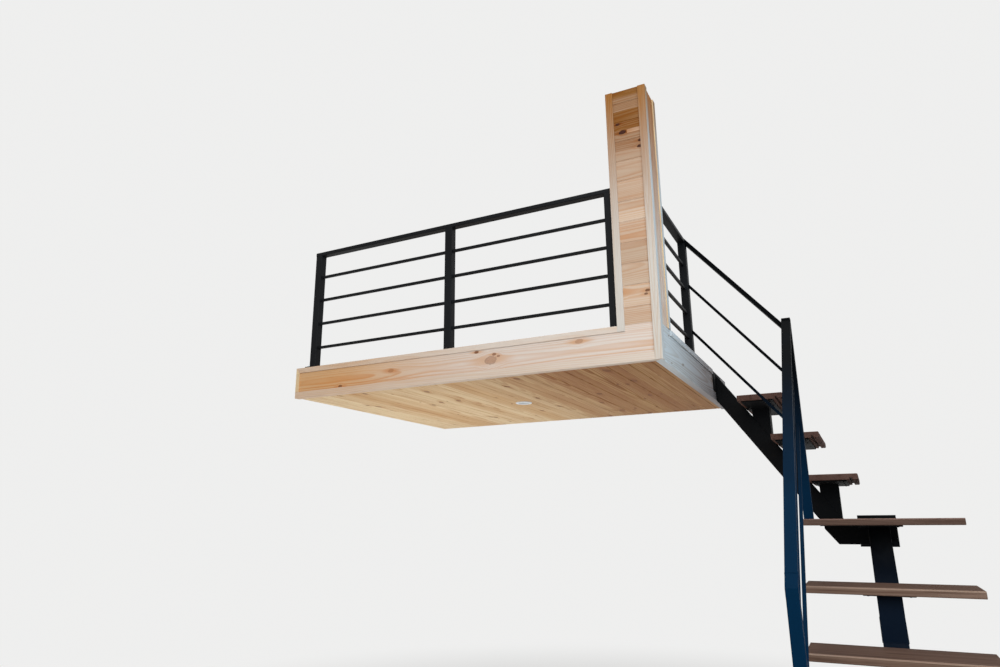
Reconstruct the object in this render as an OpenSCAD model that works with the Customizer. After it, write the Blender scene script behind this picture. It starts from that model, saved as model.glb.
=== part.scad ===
// Corner sleeping loft of a small timber cabin: a boxed floor hung on two
// walls, a clad pine column, a black steel guard, and a stair in two flights
// whose treads ride on one central steel box.
// Millimetres. X runs along the back wall, Y points into that wall and Z up.
// The origin lies on the wall face of the back ledger, at its middle.

/* [Loft floor] */
// width of the loft along the back wall
loft_w = 1760; // [1400:10:2400]
// depth of the loft from the back wall to the fascia face
loft_d = 1356; // [1100:2:1600]
// height of the deck above the room floor
deck_h = 2077; // [1900:1:2300]
// height of the front and side fascia
fascia_h = 140; // [120:1:220]
// thickness of the fascia boards
fascia_t = 19; // [15:1:25]
// thickness of the deck boards
deck_t = 22; // [18:1:28]
// thickness of the soffit boards
soffit_t = 15; // [12:1:20]
// cover width of one pine board
board_w = 88; // [70:1:140]
// width of the joists and of the rim
joist_w = 45; // [35:1:60]
// number of inner joists, an even number so that the lamp hangs between two
joist_n = 4; // [2:2:4]
// leg of the angle trim on the fascia's lower edge
trim_leg = 30; // [20:1:40]
// leg of the angle trim on the fascia's upper edge
nosing_leg = 24; // [15:1:35]
// thickness of the angle trims
trim_t = 5; // [3:0.5:8]
// width of the upright strip where the front fascia meets the wall
end_strip = 18; // [10:1:40]

/* [Column] */
// width of the boxed column along the front
col_w = 158; // [140:1:260]
// depth of the boxed column
col_d = 151; // [110:1:200]
// height of the column above the deck
col_h = 1003; // [800:1:1300]
// thickness of the column's boards
clad_t = 18; // [14:1:22]
// face of the column's corner trims
corner_leg = 31; // [26:1:45]

/* [Guard] */
// side of the square posts
post_s = 36; // [30:1:60]
// height of the guard above the deck
guard_h = 582; // [520:1:700]
// thickness of the flat handrail tube
rail_t = 18; // [15:1:40]
// side of the square guard bars
bar_s = 12; // [10:1:20]
// number of bars under the top rail
bar_n = 4; // [3:1:6]
// spacing of the bars, centre to centre
bar_gap = 119; // [80:1:120]
// height of the lowest bar above the deck
bar_first = 97; // [60:1:110]
// set-back of the front guard from the fascia face
guard_in = 5; // [2:1:15]
// set-back of the side guard from the fascia face
side_in = 21; // [2:1:40]
// clear way between the first post and the side wall
wall_gap = 69; // [40:1:120]
// length of the foot tab on the first post
tab_l = 26; // [20:1:36]

/* [Stair] */
// length of every tread
tread_l = 543; // [450:1:700]
// thickness of the treads and the landing
tread_t = 25; // [20:1:40]
// clear way between the loft and the landing
landing_gap = 365; // [330:5:420]
// depth of the landing from the back wall
landing_d = 790; // [700:5:900]
// number of treads between landing and deck
up_n = 3; // [2:1:4]
// going of the upper flight
up_go = 128; // [110:1:160]
// depth of an upper tread
up_depth = 195; // [160:1:240]
// nosing of the lowest upper tread, measured from the landing's free end
up_first = 216; // [180:1:260]
// number of treads below the landing
low_n = 6; // [5:1:8]
// going of the lower flight
low_go = 205; // [180:1:240]
// depth of a lower tread
low_depth = 230; // [200:1:270]
// first step down from the landing, horizontal
first_go = 235; // [200:1:260]
// first step down from the landing, vertical
first_rise = 228; // [180:1:240]
// rise of each upper tread
up_rise = 182; // [160:1:200]
// last rise, from the top tread onto the deck
top_rise = 168; // [150:1:200]
// side of the square steel box that carries the treads
spine_s = 78; // [60:1:100]
// offset of the lower steel box from the middle of the treads
spine_off = 6; // [0:1:20]
// thickness of the plates under the treads
plate_t = 6; // [4:1:10]

/* [Stair rails] */
// set-back of the landing newel from the landing's nosing
newel_in = 117; // [20:1:150]
// set-back of the foot newel from its tread's nosing
foot_in = 25; // [10:1:60]
// drop of the upper handrail below the newel's top
up_rail_drop = 17; // [0:1:40]
// height of the landing newel
newel_h = 847; // [700:1:1100]
// height of the foot newel above its tread, at its front
foot_newel_h = 607; // [450:1:900]
// step that carries the foot newel, counted down from the landing
foot_n = 4; // [3:1:6]
// drop of the lower handrail below the newel's top
low_rail_drop = 10; // [0:1:80]
// spacing of the sloping rails, measured upright
mid_gap = 223; // [150:1:260]

/* [Fixings] */
// radius of the wall bolt holes
bolt_r = 5.5; // [4:0.5:8]
// distance of a ledger's outer bolts from its ends
bolt_end = 140; // [100:5:200]
// thickness of the steel wall plate and foot plate
flange_t = 10; // [6:1:15]
// distance of the plates' bolts from the plate edges
plate_edge = 20; // [15:1:30]
// width of the plate between the upper steel box and the side of the loft
head_w = 190; // [120:5:260]
// height of that plate
head_h = 95; // [80:1:100]
// radius of the recessed lamp's rim
lamp_r = 41; // [30:1:60]
// distance of the lamp from the back wall
lamp_back = 687; // [400:1:900]
// offset of the lamp from the middle of the loft, towards the stair
lamp_off = 16; // [-40:1:40]

/* [Hidden] */
$fn = 24;
ledger_h = fascia_h - deck_t - soffit_t;
deck_z = ledger_h / 2 + deck_t;
joist_top = ledger_h / 2;
joist_bot = -ledger_h / 2;
soffit_z = deck_z - fascia_h;
floor_z = deck_z - deck_h;
left_x = -loft_w / 2;
right_x = loft_w / 2;
front_y = -loft_d;
rim_y = front_y + fascia_t;
rim_x = right_x - fascia_t;
joist_y = rim_y + joist_w;
joist_l = -joist_w - joist_y;
bolt_pitch = (loft_w - 2 * bolt_end) / 3;
left_pitch = (joist_l - 2 * bolt_end) / 3;
lamp_x = (left_x + rim_x) / 2 + lamp_off;
lamp_y = -lamp_back;
lamp_hole_r = lamp_r - 7;
lamp_rim_t = 4;
lamp_can_h = 62;
col_x = right_x - col_w;
col_y = front_y + col_d;
// V joints between boards, and the first one on the column
joint_w = 3.6;
col_first = 68;
// stair levels and slopes
landing_z = deck_z - up_n * up_rise - top_rise;
land_x = right_x + landing_gap;
land_y = -landing_d;
spine_x = land_x + tread_l / 2 - spine_off;
spine_y = -tread_l / 2;
low_rise = (landing_z - floor_z - first_rise) / low_n;
up_tan = up_rise / up_go;
low_tan = low_rise / low_go;
up_v = spine_s / cos(atan(up_tan));
low_v = spine_s / cos(atan(low_tan));
under = tread_t + plate_t;
bearer_z = landing_z - under;
// set-backs from a tread's nosing: welded leg, plate, drip groove
leg_in = 85;
low_leg_in = 62;
plate_in = 45;
// set-backs of the plates from the treads' other edges
plate_out = 15;
low_plate_out = 25;
// slanted free end of the arm below the upper flight
arm_end = 12;
arm_cut = 52;
groove_in = 22;
groove_w = 10;
groove_t = 8;
// posts
post_y = front_y + guard_in + post_s / 2;
side_x = right_x - side_in - post_s / 2;
newel_x = land_x + post_s / 2;
newel_y = land_y + newel_in + post_s / 2;
top_rail_z = deck_z + guard_h;
post_x1 = left_x + wall_gap + post_s / 2;
post_x3 = col_x - post_s / 2;
post_x2 = (post_x1 + post_x3) / 2;
newel_top = landing_z + newel_h;
foot_y = low_nose(foot_n) + foot_in + post_s / 2;
foot_top = low_z(foot_n) + foot_newel_h;
up_rail_x = side_x + post_s / 2;
up_rail_tan = (top_rail_z - newel_top + up_rail_drop) / (land_x - up_rail_x);
low_rail_tan = (newel_top - low_rail_drop - foot_top) / (newel_y - foot_y);
head_top = deck_z - 9;
head_y = spine_y - head_w / 2;
// wall plate and foot plate
wall_w = 162;
wall_h = 143;
wall_up = 15;
wall_pitch = 60;
// foot tab of the first post
tab_t = 6;
tab_r = 4.5;
foot_l = 200;
bolt_out = wall_w / 2 - plate_edge;
wall_bolt_z = landing_z + wall_up - wall_h + plate_edge;
foot_out = foot_l / 2 - plate_edge;
foot_mid = low_at(floor_z + flange_t) + low_v / low_tan / 2;
// colours
steel = [0.11, 0.12, 0.14];
pine = [0.86, 0.72, 0.53];
pale = [0.90, 0.83, 0.72];
amber = [0.80, 0.62, 0.40];
stained = [0.50, 0.35, 0.26];
white = [0.93, 0.93, 0.92];

// nosing, level and rear edge of tread k in each flight
function up_nose(k) = land_x + up_first - (k - 1) * up_go;
function up_z(k) = landing_z + k * up_rise;
function low_nose(k) = land_y - first_go - (k - 1) * low_go;
function low_z(k) = landing_z - first_rise - (k - 1) * low_rise;
// upper edge of the steel box in each flight
function up_top(x) = up_z(1) - tread_t + (up_nose(1) - up_depth - x) * up_tan;
function up_at(z) = up_nose(1) - up_depth - (z - up_z(1) + tread_t) / up_tan;
function low_top(y) = low_z(1) - tread_t + (y - low_nose(1) - low_depth) * low_tan;
function low_at(z) = low_nose(1) + low_depth + (z - low_z(1) + tread_t) / low_tan;

// square or flat tube with rounded edges, between two corners along Z
module tube_z(w, d, h, r = 3, $fn = 16) {
  linear_extrude(h)
    offset(r) square([w - 2 * r, d - 2 * r], center = true);
}

// straight tube along X with rounded edges, from x0 to x1
module tube_x(x0, x1, y, z, d, h, r = 3, $fn = 16) {
  translate([x0, y, z]) rotate([90, 0, 90])
    linear_extrude(x1 - x0)
      offset(r) square([d - 2 * r, h - 2 * r], center = true);
}

// straight tube along Y with rounded edges, from y0 to y1
module tube_y(x, y0, y1, z, w, h, r = 3, $fn = 16) {
  translate([x, y1, z]) rotate([90, 0, 0])
    linear_extrude(y1 - y0)
      offset(r) square([w - 2 * r, h - 2 * r], center = true);
}

// outline in X and Z, carried through a width along Y
module plane_xz(y0, y1) {
  translate([0, y1, 0]) rotate([90, 0, 0])
    linear_extrude(y1 - y0) children();
}

// outline in Y and Z, carried through a width along X
module plane_yz(x0, x1) {
  translate([x0, 0, 0]) rotate([90, 0, 90])
    linear_extrude(x1 - x0) children();
}

// flat panel of boards that run along Y, with a V joint at each board
module boards_y(x0, x1, y0, y1, z0, t, face = 1) {
  n = floor((x1 - x0) / board_w);
  start = x0 + ((x1 - x0) - n * board_w) / 2;
  plane_xz(y0, y1)
    difference() {
      translate([x0, z0]) square([x1 - x0, t]);
      for (i = [0:n]) {
        px = start + i * board_w;
        if (px > x0 + 2 * joint_w && px < x1 - 2 * joint_w)
          translate([px, face > 0 ? z0 + t : z0]) rotate(45) square(joint_w, center = true);
      }
    }
}

// back ledger, bolted to the wall
module back_ledger() {
  color(pine) difference() {
    translate([left_x, -joist_w, joist_bot]) cube([loft_w - fascia_t, joist_w, ledger_h]);
    for (i = [0:3])
      translate([left_x + bolt_end + i * bolt_pitch, -joist_w - 1, 0]) rotate([-90, 0, 0])
        cylinder(r = bolt_r, h = joist_w + 2, $fn = 48);
  }
}

// ledger on the side wall
module left_ledger() {
  color(pine) difference() {
    translate([left_x, joist_y, joist_bot])
      cube([joist_w, joist_l, ledger_h]);
    for (i = [0:3])
      translate([left_x - 1, joist_y + bolt_end + i * left_pitch, 0]) rotate([0, 90, 0])
        cylinder(r = bolt_r, h = joist_w + 2, $fn = 48);
  }
}

// rim under the front edge
module front_rim() {
  color(pine) translate([left_x, rim_y, joist_bot])
    cube([loft_w - fascia_t, joist_w, ledger_h]);
}

// rim under the free side
module side_rim() {
  color(pine) translate([rim_x - joist_w, joist_y, joist_bot])
    cube([joist_w, joist_l, ledger_h]);
}

// inner joists, from ledger to front rim
module floor_joists() {
  span = loft_w - fascia_t - 2 * joist_w;
  color(pine) for (i = [1:joist_n])
    translate([left_x + joist_w + i * span / (joist_n + 1) - joist_w / 2, joist_y, joist_bot])
      cube([joist_w, joist_l, ledger_h]);
}

// deck of tongued boards
module loft_deck() {
  color(pine) boards_y(left_x, rim_x, rim_y, 0, joist_top, deck_t, 1);
}

// lining under the joists, with a hole for the lamp
module loft_soffit() {
  color(amber) difference() {
    boards_y(left_x, rim_x, rim_y, 0, soffit_z, soffit_t, -1);
    translate([lamp_x, lamp_y, soffit_z - 1]) cylinder(r = lamp_hole_r, h = soffit_t + 2, $fn = 64);
  }
}

// front fascia board
module front_fascia() {
  color(pale) translate([left_x, front_y, soffit_z]) cube([loft_w, fascia_t, fascia_h]);
}

// side fascia board, butted behind the front one
module side_fascia() {
  color(pale) translate([rim_x, rim_y, soffit_z]) cube([fascia_t, -rim_y, fascia_h]);
}

// strips along the upper edge of both fascias, and an upright one at the wall
module fascia_top_trim() {
  low = soffit_z - trim_t + trim_leg;
  color(pale) {
    translate([left_x, front_y - trim_t, deck_z - nosing_leg])
      cube([loft_w - col_w - trim_t, trim_t, nosing_leg]);
    translate([left_x, front_y - trim_t, low])
      cube([end_strip, trim_t, deck_z - nosing_leg - low]);
    translate([right_x, col_y, deck_z - nosing_leg])
      cube([trim_t, head_y - col_y, nosing_leg]);
  }
}

// angle along the lower edge of the front, strip below the side
module fascia_bottom_trim() {
  color(pale) {
    translate([left_x, front_y - trim_t, soffit_z - trim_t])
      cube([loft_w + trim_t - corner_leg, trim_t, trim_leg]);
    translate([left_x, front_y, soffit_z - trim_t])
      cube([loft_w, trim_leg - trim_t, trim_t]);
    translate([right_x - trim_leg, front_y + trim_leg - trim_t, soffit_z - trim_t])
      cube([trim_leg, loft_d - trim_leg + trim_t, trim_t]);
  }
}

// recessed lamp: rim, can and recessed face
module soffit_lamp() {
  lip = lamp_rim_t;
  color(white) translate([lamp_x, lamp_y, soffit_z - lip]) rotate_extrude($fn = 64)
    polygon([[lamp_r - 3 * lip, 0], [lamp_r - lip / 2, 0], [lamp_r, lip / 2], [lamp_r, lip],
      [lamp_hole_r, lip], [lamp_hole_r, lamp_can_h], [0, lamp_can_h], [0, 3 * lip],
      [lamp_r - 4 * lip, 3 * lip]]);
}

// framing post inside the column
module column_core() {
  color(pine) translate([col_x + clad_t, front_y + clad_t, deck_z])
    cube([col_w - 2 * clad_t, col_d - 2 * clad_t, col_h]);
}

// boards around the column, level joints on its front
module column_cladding() {
  n = floor(col_h / board_w);
  color(pine) difference() {
    translate([col_x, front_y, deck_z]) cube([col_w, col_d, col_h]);
    translate([col_x + clad_t, front_y + clad_t, deck_z - 1])
      cube([col_w - 2 * clad_t, col_d - 2 * clad_t, col_h + 2]);
    for (i = [1:n])
      translate([col_x + col_w / 2, front_y, deck_z + (i - 1) * board_w + col_first])
        rotate([45, 0, 0]) cube([col_w + 2, joint_w, joint_w], center = true);
    for (x = [col_x, right_x])
      translate([x, front_y + col_d / 2, deck_z + col_h / 2]) rotate([0, 0, 45])
        cube([5, 5, col_h + 2], center = true);
  }
}

// angle trims on the column's front corners and a strip at its rear
module column_trims() {
  o = trim_t;
  color(pale) {
    translate([0, 0, soffit_z - o]) linear_extrude(fascia_h + o + col_h)
      polygon([[right_x + o - corner_leg, front_y - o], [right_x + o, front_y - o],
        [right_x + o, front_y - o + corner_leg], [right_x, front_y - o + corner_leg],
        [right_x, front_y], [right_x + o - corner_leg, front_y]]);
    translate([0, 0, deck_z]) linear_extrude(col_h)
      translate([col_x - o, front_y - o]) square([trim_leg, o]);
    translate([0, 0, deck_z - nosing_leg]) linear_extrude(nosing_leg)
      translate([col_x - o, front_y - o]) square([trim_leg, o]);
    translate([right_x, col_y - trim_leg, deck_z]) cube([o, trim_leg, col_h]);
  }
}

// the three posts of the front guard, the first with a foot tab
module front_posts() {
  tab_x = post_x1 - post_s / 2 - tab_l;
  color(steel) {
    for (x = [post_x1, post_x2, post_x3])
      translate([x, post_y, deck_z]) tube_z(post_s, post_s, guard_h - rail_t);
    difference() {
      translate([tab_x, post_y - post_s / 2, deck_z]) cube([tab_l, post_s, tab_t]);
      translate([tab_x + tab_l / 2, post_y, deck_z - 1])
        cylinder(r = tab_r, h = tab_t + 2, $fn = 48);
    }
  }
}

// flat tube over the front posts
module front_top_rail() {
  color(steel)
    tube_x(post_x1 - post_s / 2, col_x, post_y, top_rail_z - rail_t / 2, post_s, rail_t);
}

// level bars between the front posts
module front_bars() {
  h = post_s / 2;
  color(steel) for (i = [0:bar_n - 1]) {
    z = deck_z + bar_first + i * bar_gap;
    tube_x(post_x1 + h, post_x2 - h, post_y, z, bar_s, bar_s, 1.5);
    tube_x(post_x2 + h, post_x3 - h, post_y, z, bar_s, bar_s, 1.5);
  }
}

// flat tube from the column to the stairhead post
module side_top_rail() {
  color(steel)
    tube_y(side_x, col_y, newel_y + post_s / 2, top_rail_z - rail_t / 2, post_s, rail_t);
}

// level bars from the column to the stairhead post
module side_bars() {
  color(steel) for (i = [0:bar_n - 1])
    tube_y(side_x, col_y, newel_y - post_s / 2, deck_z + bar_first + i * bar_gap,
      bar_s, bar_s, 1.5);
}

// post where the guard meets the stair
module stairhead_post() {
  color(steel) translate([side_x, newel_y, deck_z])
    tube_z(post_s, post_s, guard_h - rail_t);
}

// newel on the landing's front corner
module landing_newel() {
  color(steel) translate([newel_x, newel_y, landing_z])
    tube_z(post_s, post_s, newel_h);
}

// sloping bar of the upper flight, its upper edge dropped by d
module up_rail(w, t, d) {
  v = t / cos(atan(up_rail_tan));
  z0 = top_rail_z - d;
  z1 = newel_top - up_rail_drop - d;
  plane_xz(newel_y - w / 2, newel_y + w / 2)
    polygon([[up_rail_x, z0], [land_x, z1], [land_x, z1 - v], [up_rail_x, z0 - v]]);
}

// sloping bar of the lower flight, its upper edge dropped by d, down to y0
module low_rail(w, t, d, y0) {
  v = t / cos(atan(low_rail_tan));
  y1 = newel_y - post_s / 2;
  z1 = newel_top - low_rail_drop - d;
  z0 = z1 - (y1 - y0) * low_rail_tan;
  plane_yz(newel_x - w / 2, newel_x + w / 2)
    polygon([[y0, z0], [y1, z1], [y1, z1 - v], [y0, z0 - v]]);
}

// flat tube down the upper flight
module upper_handrail() {
  color(steel) up_rail(post_s, rail_t, 0);
}

// two bars below the upper handrail
module upper_mid_rails() {
  color(steel) for (i = [1, 2])
    up_rail(bar_s, bar_s, i * mid_gap);
}

// newel of the lower flight, its top cut to the handrail
module foot_newel() {
  h = post_s / 2;
  v = rail_t / cos(atan(low_rail_tan));
  top = foot_top - v;
  color(steel) intersection() {
    translate([newel_x, foot_y, low_z(foot_n)]) tube_z(post_s, post_s, foot_newel_h + post_s);
    plane_yz(newel_x - h - 1, newel_x + h + 1)
      polygon([[foot_y - h, low_z(foot_n)], [foot_y + h, low_z(foot_n)],
        [foot_y + h, top + post_s * low_rail_tan], [foot_y - h, top]]);
  }
}

// flat tube down the lower flight, over the foot newel
module lower_handrail() {
  color(steel) low_rail(post_s, rail_t, 0, foot_y - post_s / 2);
}

// two bars below the lower handrail
module lower_mid_rails() {
  color(steel) for (i = [1, 2])
    low_rail(bar_s, bar_s, i * mid_gap, foot_y + post_s / 2);
}

// square box of the upper flight, from the fascia down to the landing
module upper_spine() {
  x0 = right_x + plate_t;
  x1 = up_at(landing_z);
  color(steel) plane_xz(spine_y - spine_s / 2, spine_y + spine_s / 2)
    polygon([[x0, up_top(x0)], [x1, landing_z], [x1 - up_v / up_tan, landing_z],
      [x0, up_top(x0) - up_v]]);
}

// plate between the upper box and the side of the loft
module spine_head_plate() {
  color(steel) translate([right_x, head_y, head_top - head_h]) cube([plate_t, head_w, head_h]);
}

// upright legs and plates under the upper treads
module upper_saddles() {
  color(steel) for (k = [1:up_n]) {
    x1 = up_nose(k) - leg_in;
    x0 = x1 - spine_s;
    z = up_z(k) - under;
    plane_xz(spine_y - spine_s / 2, spine_y + spine_s / 2)
      polygon([[x0, z], [x1, z], [x1, up_top(x1)], [x0, up_top(x0)]]);
    translate([up_nose(k) - up_depth + plate_out, plate_out - tread_l, z])
      cube([up_depth - plate_in - plate_out, tread_l - 2 * plate_out, plate_t]);
  }
}

// level boxes under the landing: one to the wall, one below the upper flight
module landing_bearer() {
  h = spine_s / 2;
  y0 = low_at(bearer_z);
  arm_x = up_at(landing_z) - spine_s;
  color(steel) {
    plane_yz(spine_x - h, spine_x + h)
      polygon([[y0, bearer_z], [-flange_t, bearer_z], [-flange_t, bearer_z - spine_s],
        [y0 + spine_s * tan(atan(low_tan) / 2), bearer_z - spine_s]]);
    plane_xz(spine_y - h, spine_y + h)
      polygon([[arm_x, bearer_z], [spine_x - h, bearer_z], [spine_x - h, bearer_z - spine_s],
        [arm_x + arm_cut, bearer_z - spine_s], [arm_x, bearer_z - arm_end]]);
    translate([spine_x - wall_w / 2, land_y + plate_in, bearer_z])
      cube([wall_w, -flange_t - land_y - plate_in, plate_t]);
    translate([arm_x - plate_out, spine_y - wall_w / 2, bearer_z])
      cube([spine_x - wall_w / 2 - arm_x + plate_out, wall_w, plate_t]);
  }
}

// plate that fixes the landing to the back wall
module stair_wall_plate() {
  color(steel) difference() {
    translate([spine_x - wall_w / 2, -flange_t, landing_z + wall_up - wall_h])
      cube([wall_w, flange_t, wall_h]);
    for (sx = [-1, 1], sz = [0, 1])
      translate([spine_x + sx * bolt_out, -flange_t - 1, wall_bolt_z + sz * wall_pitch])
        rotate([-90, 0, 0]) cylinder(r = bolt_r, h = flange_t + 2, $fn = 48);
  }
}

// square box of the lower flight, mitred to the bearer
module lower_spine() {
  y1 = low_at(bearer_z);
  y0 = low_at(floor_z + flange_t);
  color(steel) plane_yz(spine_x - spine_s / 2, spine_x + spine_s / 2)
    polygon([[y1, bearer_z], [y1 + spine_s * tan(atan(low_tan) / 2), bearer_z - spine_s],
      [y0 + low_v / low_tan, floor_z + flange_t], [y0, floor_z + flange_t]]);
}

// upright legs and plates under the lower treads
module lower_saddles() {
  color(steel) for (k = [1:low_n]) {
    y0 = low_nose(k) + low_leg_in;
    y1 = y0 + spine_s;
    z = low_z(k) - under;
    plane_yz(spine_x - spine_s / 2, spine_x + spine_s / 2)
      polygon([[y0, z], [y1, z], [y1, low_top(y1)], [y0, low_top(y0)]]);
    translate([spine_x - wall_w / 2, low_nose(k) + plate_in, z])
      cube([wall_w, low_depth - plate_in - low_plate_out, plate_t]);
  }
}

// plate under the lower box, on the room floor
module stair_foot_plate() {
  color(steel) difference() {
    translate([spine_x - wall_w / 2, foot_mid - foot_l / 2, floor_z])
      cube([wall_w, foot_l, flange_t]);
    for (sx = [-1, 1], sy = [-1, 1])
      translate([spine_x + sx * bolt_out, foot_mid + sy * foot_out, floor_z - 1])
        cylinder(r = bolt_r, h = flange_t + 2, $fn = 48);
  }
}

// tread of the upper flight, eased front edges and a drip groove below
module up_tread(k) {
  x1 = up_nose(k);
  x0 = x1 - up_depth;
  z1 = up_z(k);
  z0 = z1 - tread_t;
  g = x1 - groove_in;
  color(stained) plane_xz(-tread_l, 0)
    polygon([[x0, z0], [g - groove_w, z0], [g - groove_w, z0 + groove_t], [g, z0 + groove_t],
      [g, z0], [x1 - 3, z0], [x1, z0 + 3], [x1, z1 - 3], [x1 - 3, z1], [x0, z1]]);
}

// tread of the lower flight, eased front edges and a drip groove below
module low_tread(k) {
  y0 = low_nose(k);
  y1 = y0 + low_depth;
  z1 = low_z(k);
  z0 = z1 - tread_t;
  g = y0 + groove_in;
  color(stained) plane_yz(land_x, land_x + tread_l)
    polygon([[y1, z0], [g + groove_w, z0], [g + groove_w, z0 + groove_t], [g, z0 + groove_t],
      [g, z0], [y0 + 3, z0], [y0, z0 + 3], [y0, z1 - 3], [y0 + 3, z1], [y1, z1]]);
}

module upper_tread_1() { up_tread(1); }
module upper_tread_2() { up_tread(2); }
module upper_tread_3() { up_tread(3); }
module lower_tread_1() { low_tread(1); }
module lower_tread_2() { low_tread(2); }
module lower_tread_3() { low_tread(3); }
module lower_tread_4() { low_tread(4); }
module lower_tread_5() { low_tread(5); }
module lower_tread_6() { low_tread(6); }

// landing where the stair turns, notched for the wall plate
module landing_board() {
  z0 = landing_z - tread_t;
  g = land_y + groove_in;
  color(stained) difference() {
    plane_yz(land_x, land_x + tread_l)
      polygon([[0, z0], [g + groove_w, z0], [g + groove_w, z0 + groove_t], [g, z0 + groove_t],
        [g, z0], [land_y + 3, z0], [land_y, z0 + 3], [land_y, landing_z - 3],
        [land_y + 3, landing_z], [0, landing_z]]);
    translate([spine_x - wall_w / 2, -flange_t, z0 - 1])
      cube([wall_w, flange_t + 1, tread_t + 2]);
  }
}

back_ledger();
left_ledger();
front_rim();
side_rim();
floor_joists();
loft_deck();
loft_soffit();
front_fascia();
side_fascia();
fascia_top_trim();
fascia_bottom_trim();
soffit_lamp();
column_core();
column_cladding();
column_trims();
front_posts();
front_top_rail();
front_bars();
side_top_rail();
side_bars();
stairhead_post();
landing_newel();
upper_handrail();
upper_mid_rails();
foot_newel();
lower_handrail();
lower_mid_rails();
upper_spine();
upper_saddles();
spine_head_plate();
landing_bearer();
stair_wall_plate();
lower_spine();
lower_saddles();
stair_foot_plate();
upper_tread_1();
upper_tread_2();
upper_tread_3();
landing_board();
lower_tread_1();
lower_tread_2();
lower_tread_3();
lower_tread_4();
lower_tread_5();
lower_tread_6();
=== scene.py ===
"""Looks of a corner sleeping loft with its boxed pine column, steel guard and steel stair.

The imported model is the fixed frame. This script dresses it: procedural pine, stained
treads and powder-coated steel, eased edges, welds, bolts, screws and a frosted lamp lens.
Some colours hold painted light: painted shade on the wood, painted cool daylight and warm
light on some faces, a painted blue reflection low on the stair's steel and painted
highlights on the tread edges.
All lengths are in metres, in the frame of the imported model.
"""

from __future__ import annotations

import logging
import math
from dataclasses import dataclass
from enum import Enum
from functools import partial
from typing import Sequence, Union

import bmesh
import bpy
from mathutils import Matrix, Vector

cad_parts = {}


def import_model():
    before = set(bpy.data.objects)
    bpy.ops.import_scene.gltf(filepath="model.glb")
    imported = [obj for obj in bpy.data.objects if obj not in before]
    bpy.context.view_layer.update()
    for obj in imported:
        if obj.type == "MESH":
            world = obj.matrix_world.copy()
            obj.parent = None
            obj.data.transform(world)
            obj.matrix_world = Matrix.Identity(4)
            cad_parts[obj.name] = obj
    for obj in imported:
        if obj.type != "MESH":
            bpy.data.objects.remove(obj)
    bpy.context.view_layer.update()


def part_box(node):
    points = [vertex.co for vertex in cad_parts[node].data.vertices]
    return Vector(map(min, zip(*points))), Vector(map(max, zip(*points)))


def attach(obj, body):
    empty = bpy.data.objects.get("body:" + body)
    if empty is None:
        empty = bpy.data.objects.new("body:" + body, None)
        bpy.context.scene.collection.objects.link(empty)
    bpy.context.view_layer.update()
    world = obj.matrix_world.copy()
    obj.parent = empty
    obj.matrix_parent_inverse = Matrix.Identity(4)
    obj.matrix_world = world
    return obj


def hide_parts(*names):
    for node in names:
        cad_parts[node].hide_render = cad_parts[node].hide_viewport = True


LOG = logging.getLogger("loft")
MM = 0.001
BODY = "root"
UP, DOWN = Vector((0, 0, 1)), Vector((0, 0, -1))
FORWARD, INWARD, RIGHT = Vector((0, -1, 0)), Vector((0, 1, 0)), Vector((1, 0, 0))

Material = bpy.types.Material
Materials = tuple[bpy.types.Material, ...]
Mesh = bmesh.types.BMesh
Socket = bpy.types.NodeSocket
Signal = Union[bpy.types.NodeSocket, float, Sequence[float]]
Point = tuple[float, float, float]
Colour = tuple[float, float, float, float]
Pair = tuple[float, float]
Band = tuple[float, float, float, float]
Row = tuple[float, ...]


def tone(code: str) -> Colour:
    """Turn a display colour into the linear colour that shaders read.

    Args:
        code: six hex digits, red first.

    Returns:
        Linear red, green and blue, with alpha 1.
    """
    knee, slope, lift, power = 0.04045, 12.92, 0.055, 2.4
    shown = [int(code[i : i + 2], 16) / 255 for i in (0, 2, 4)]
    linear = [c / slope if c <= knee else ((c + lift) / (1 + lift)) ** power for c in shown]
    return (*linear, 1.0)


def dimmed(colour: Colour, share: float) -> Colour:
    """Return a colour with its light cut to a share."""
    red, green, blue, alpha = colour
    return (red * share, green * share, blue * share, alpha)


class Grain(Enum):
    """Axes that a board's grain, its width and its thickness follow."""

    FRONT_LEVEL = "XZY"
    SIDE_LEVEL = "YZX"
    FLAT_INWARD = "YXZ"
    FLAT_LEVEL = "XYZ"
    FRONT_UPRIGHT = "ZXY"
    SIDE_UPRIGHT = "ZYX"


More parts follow.
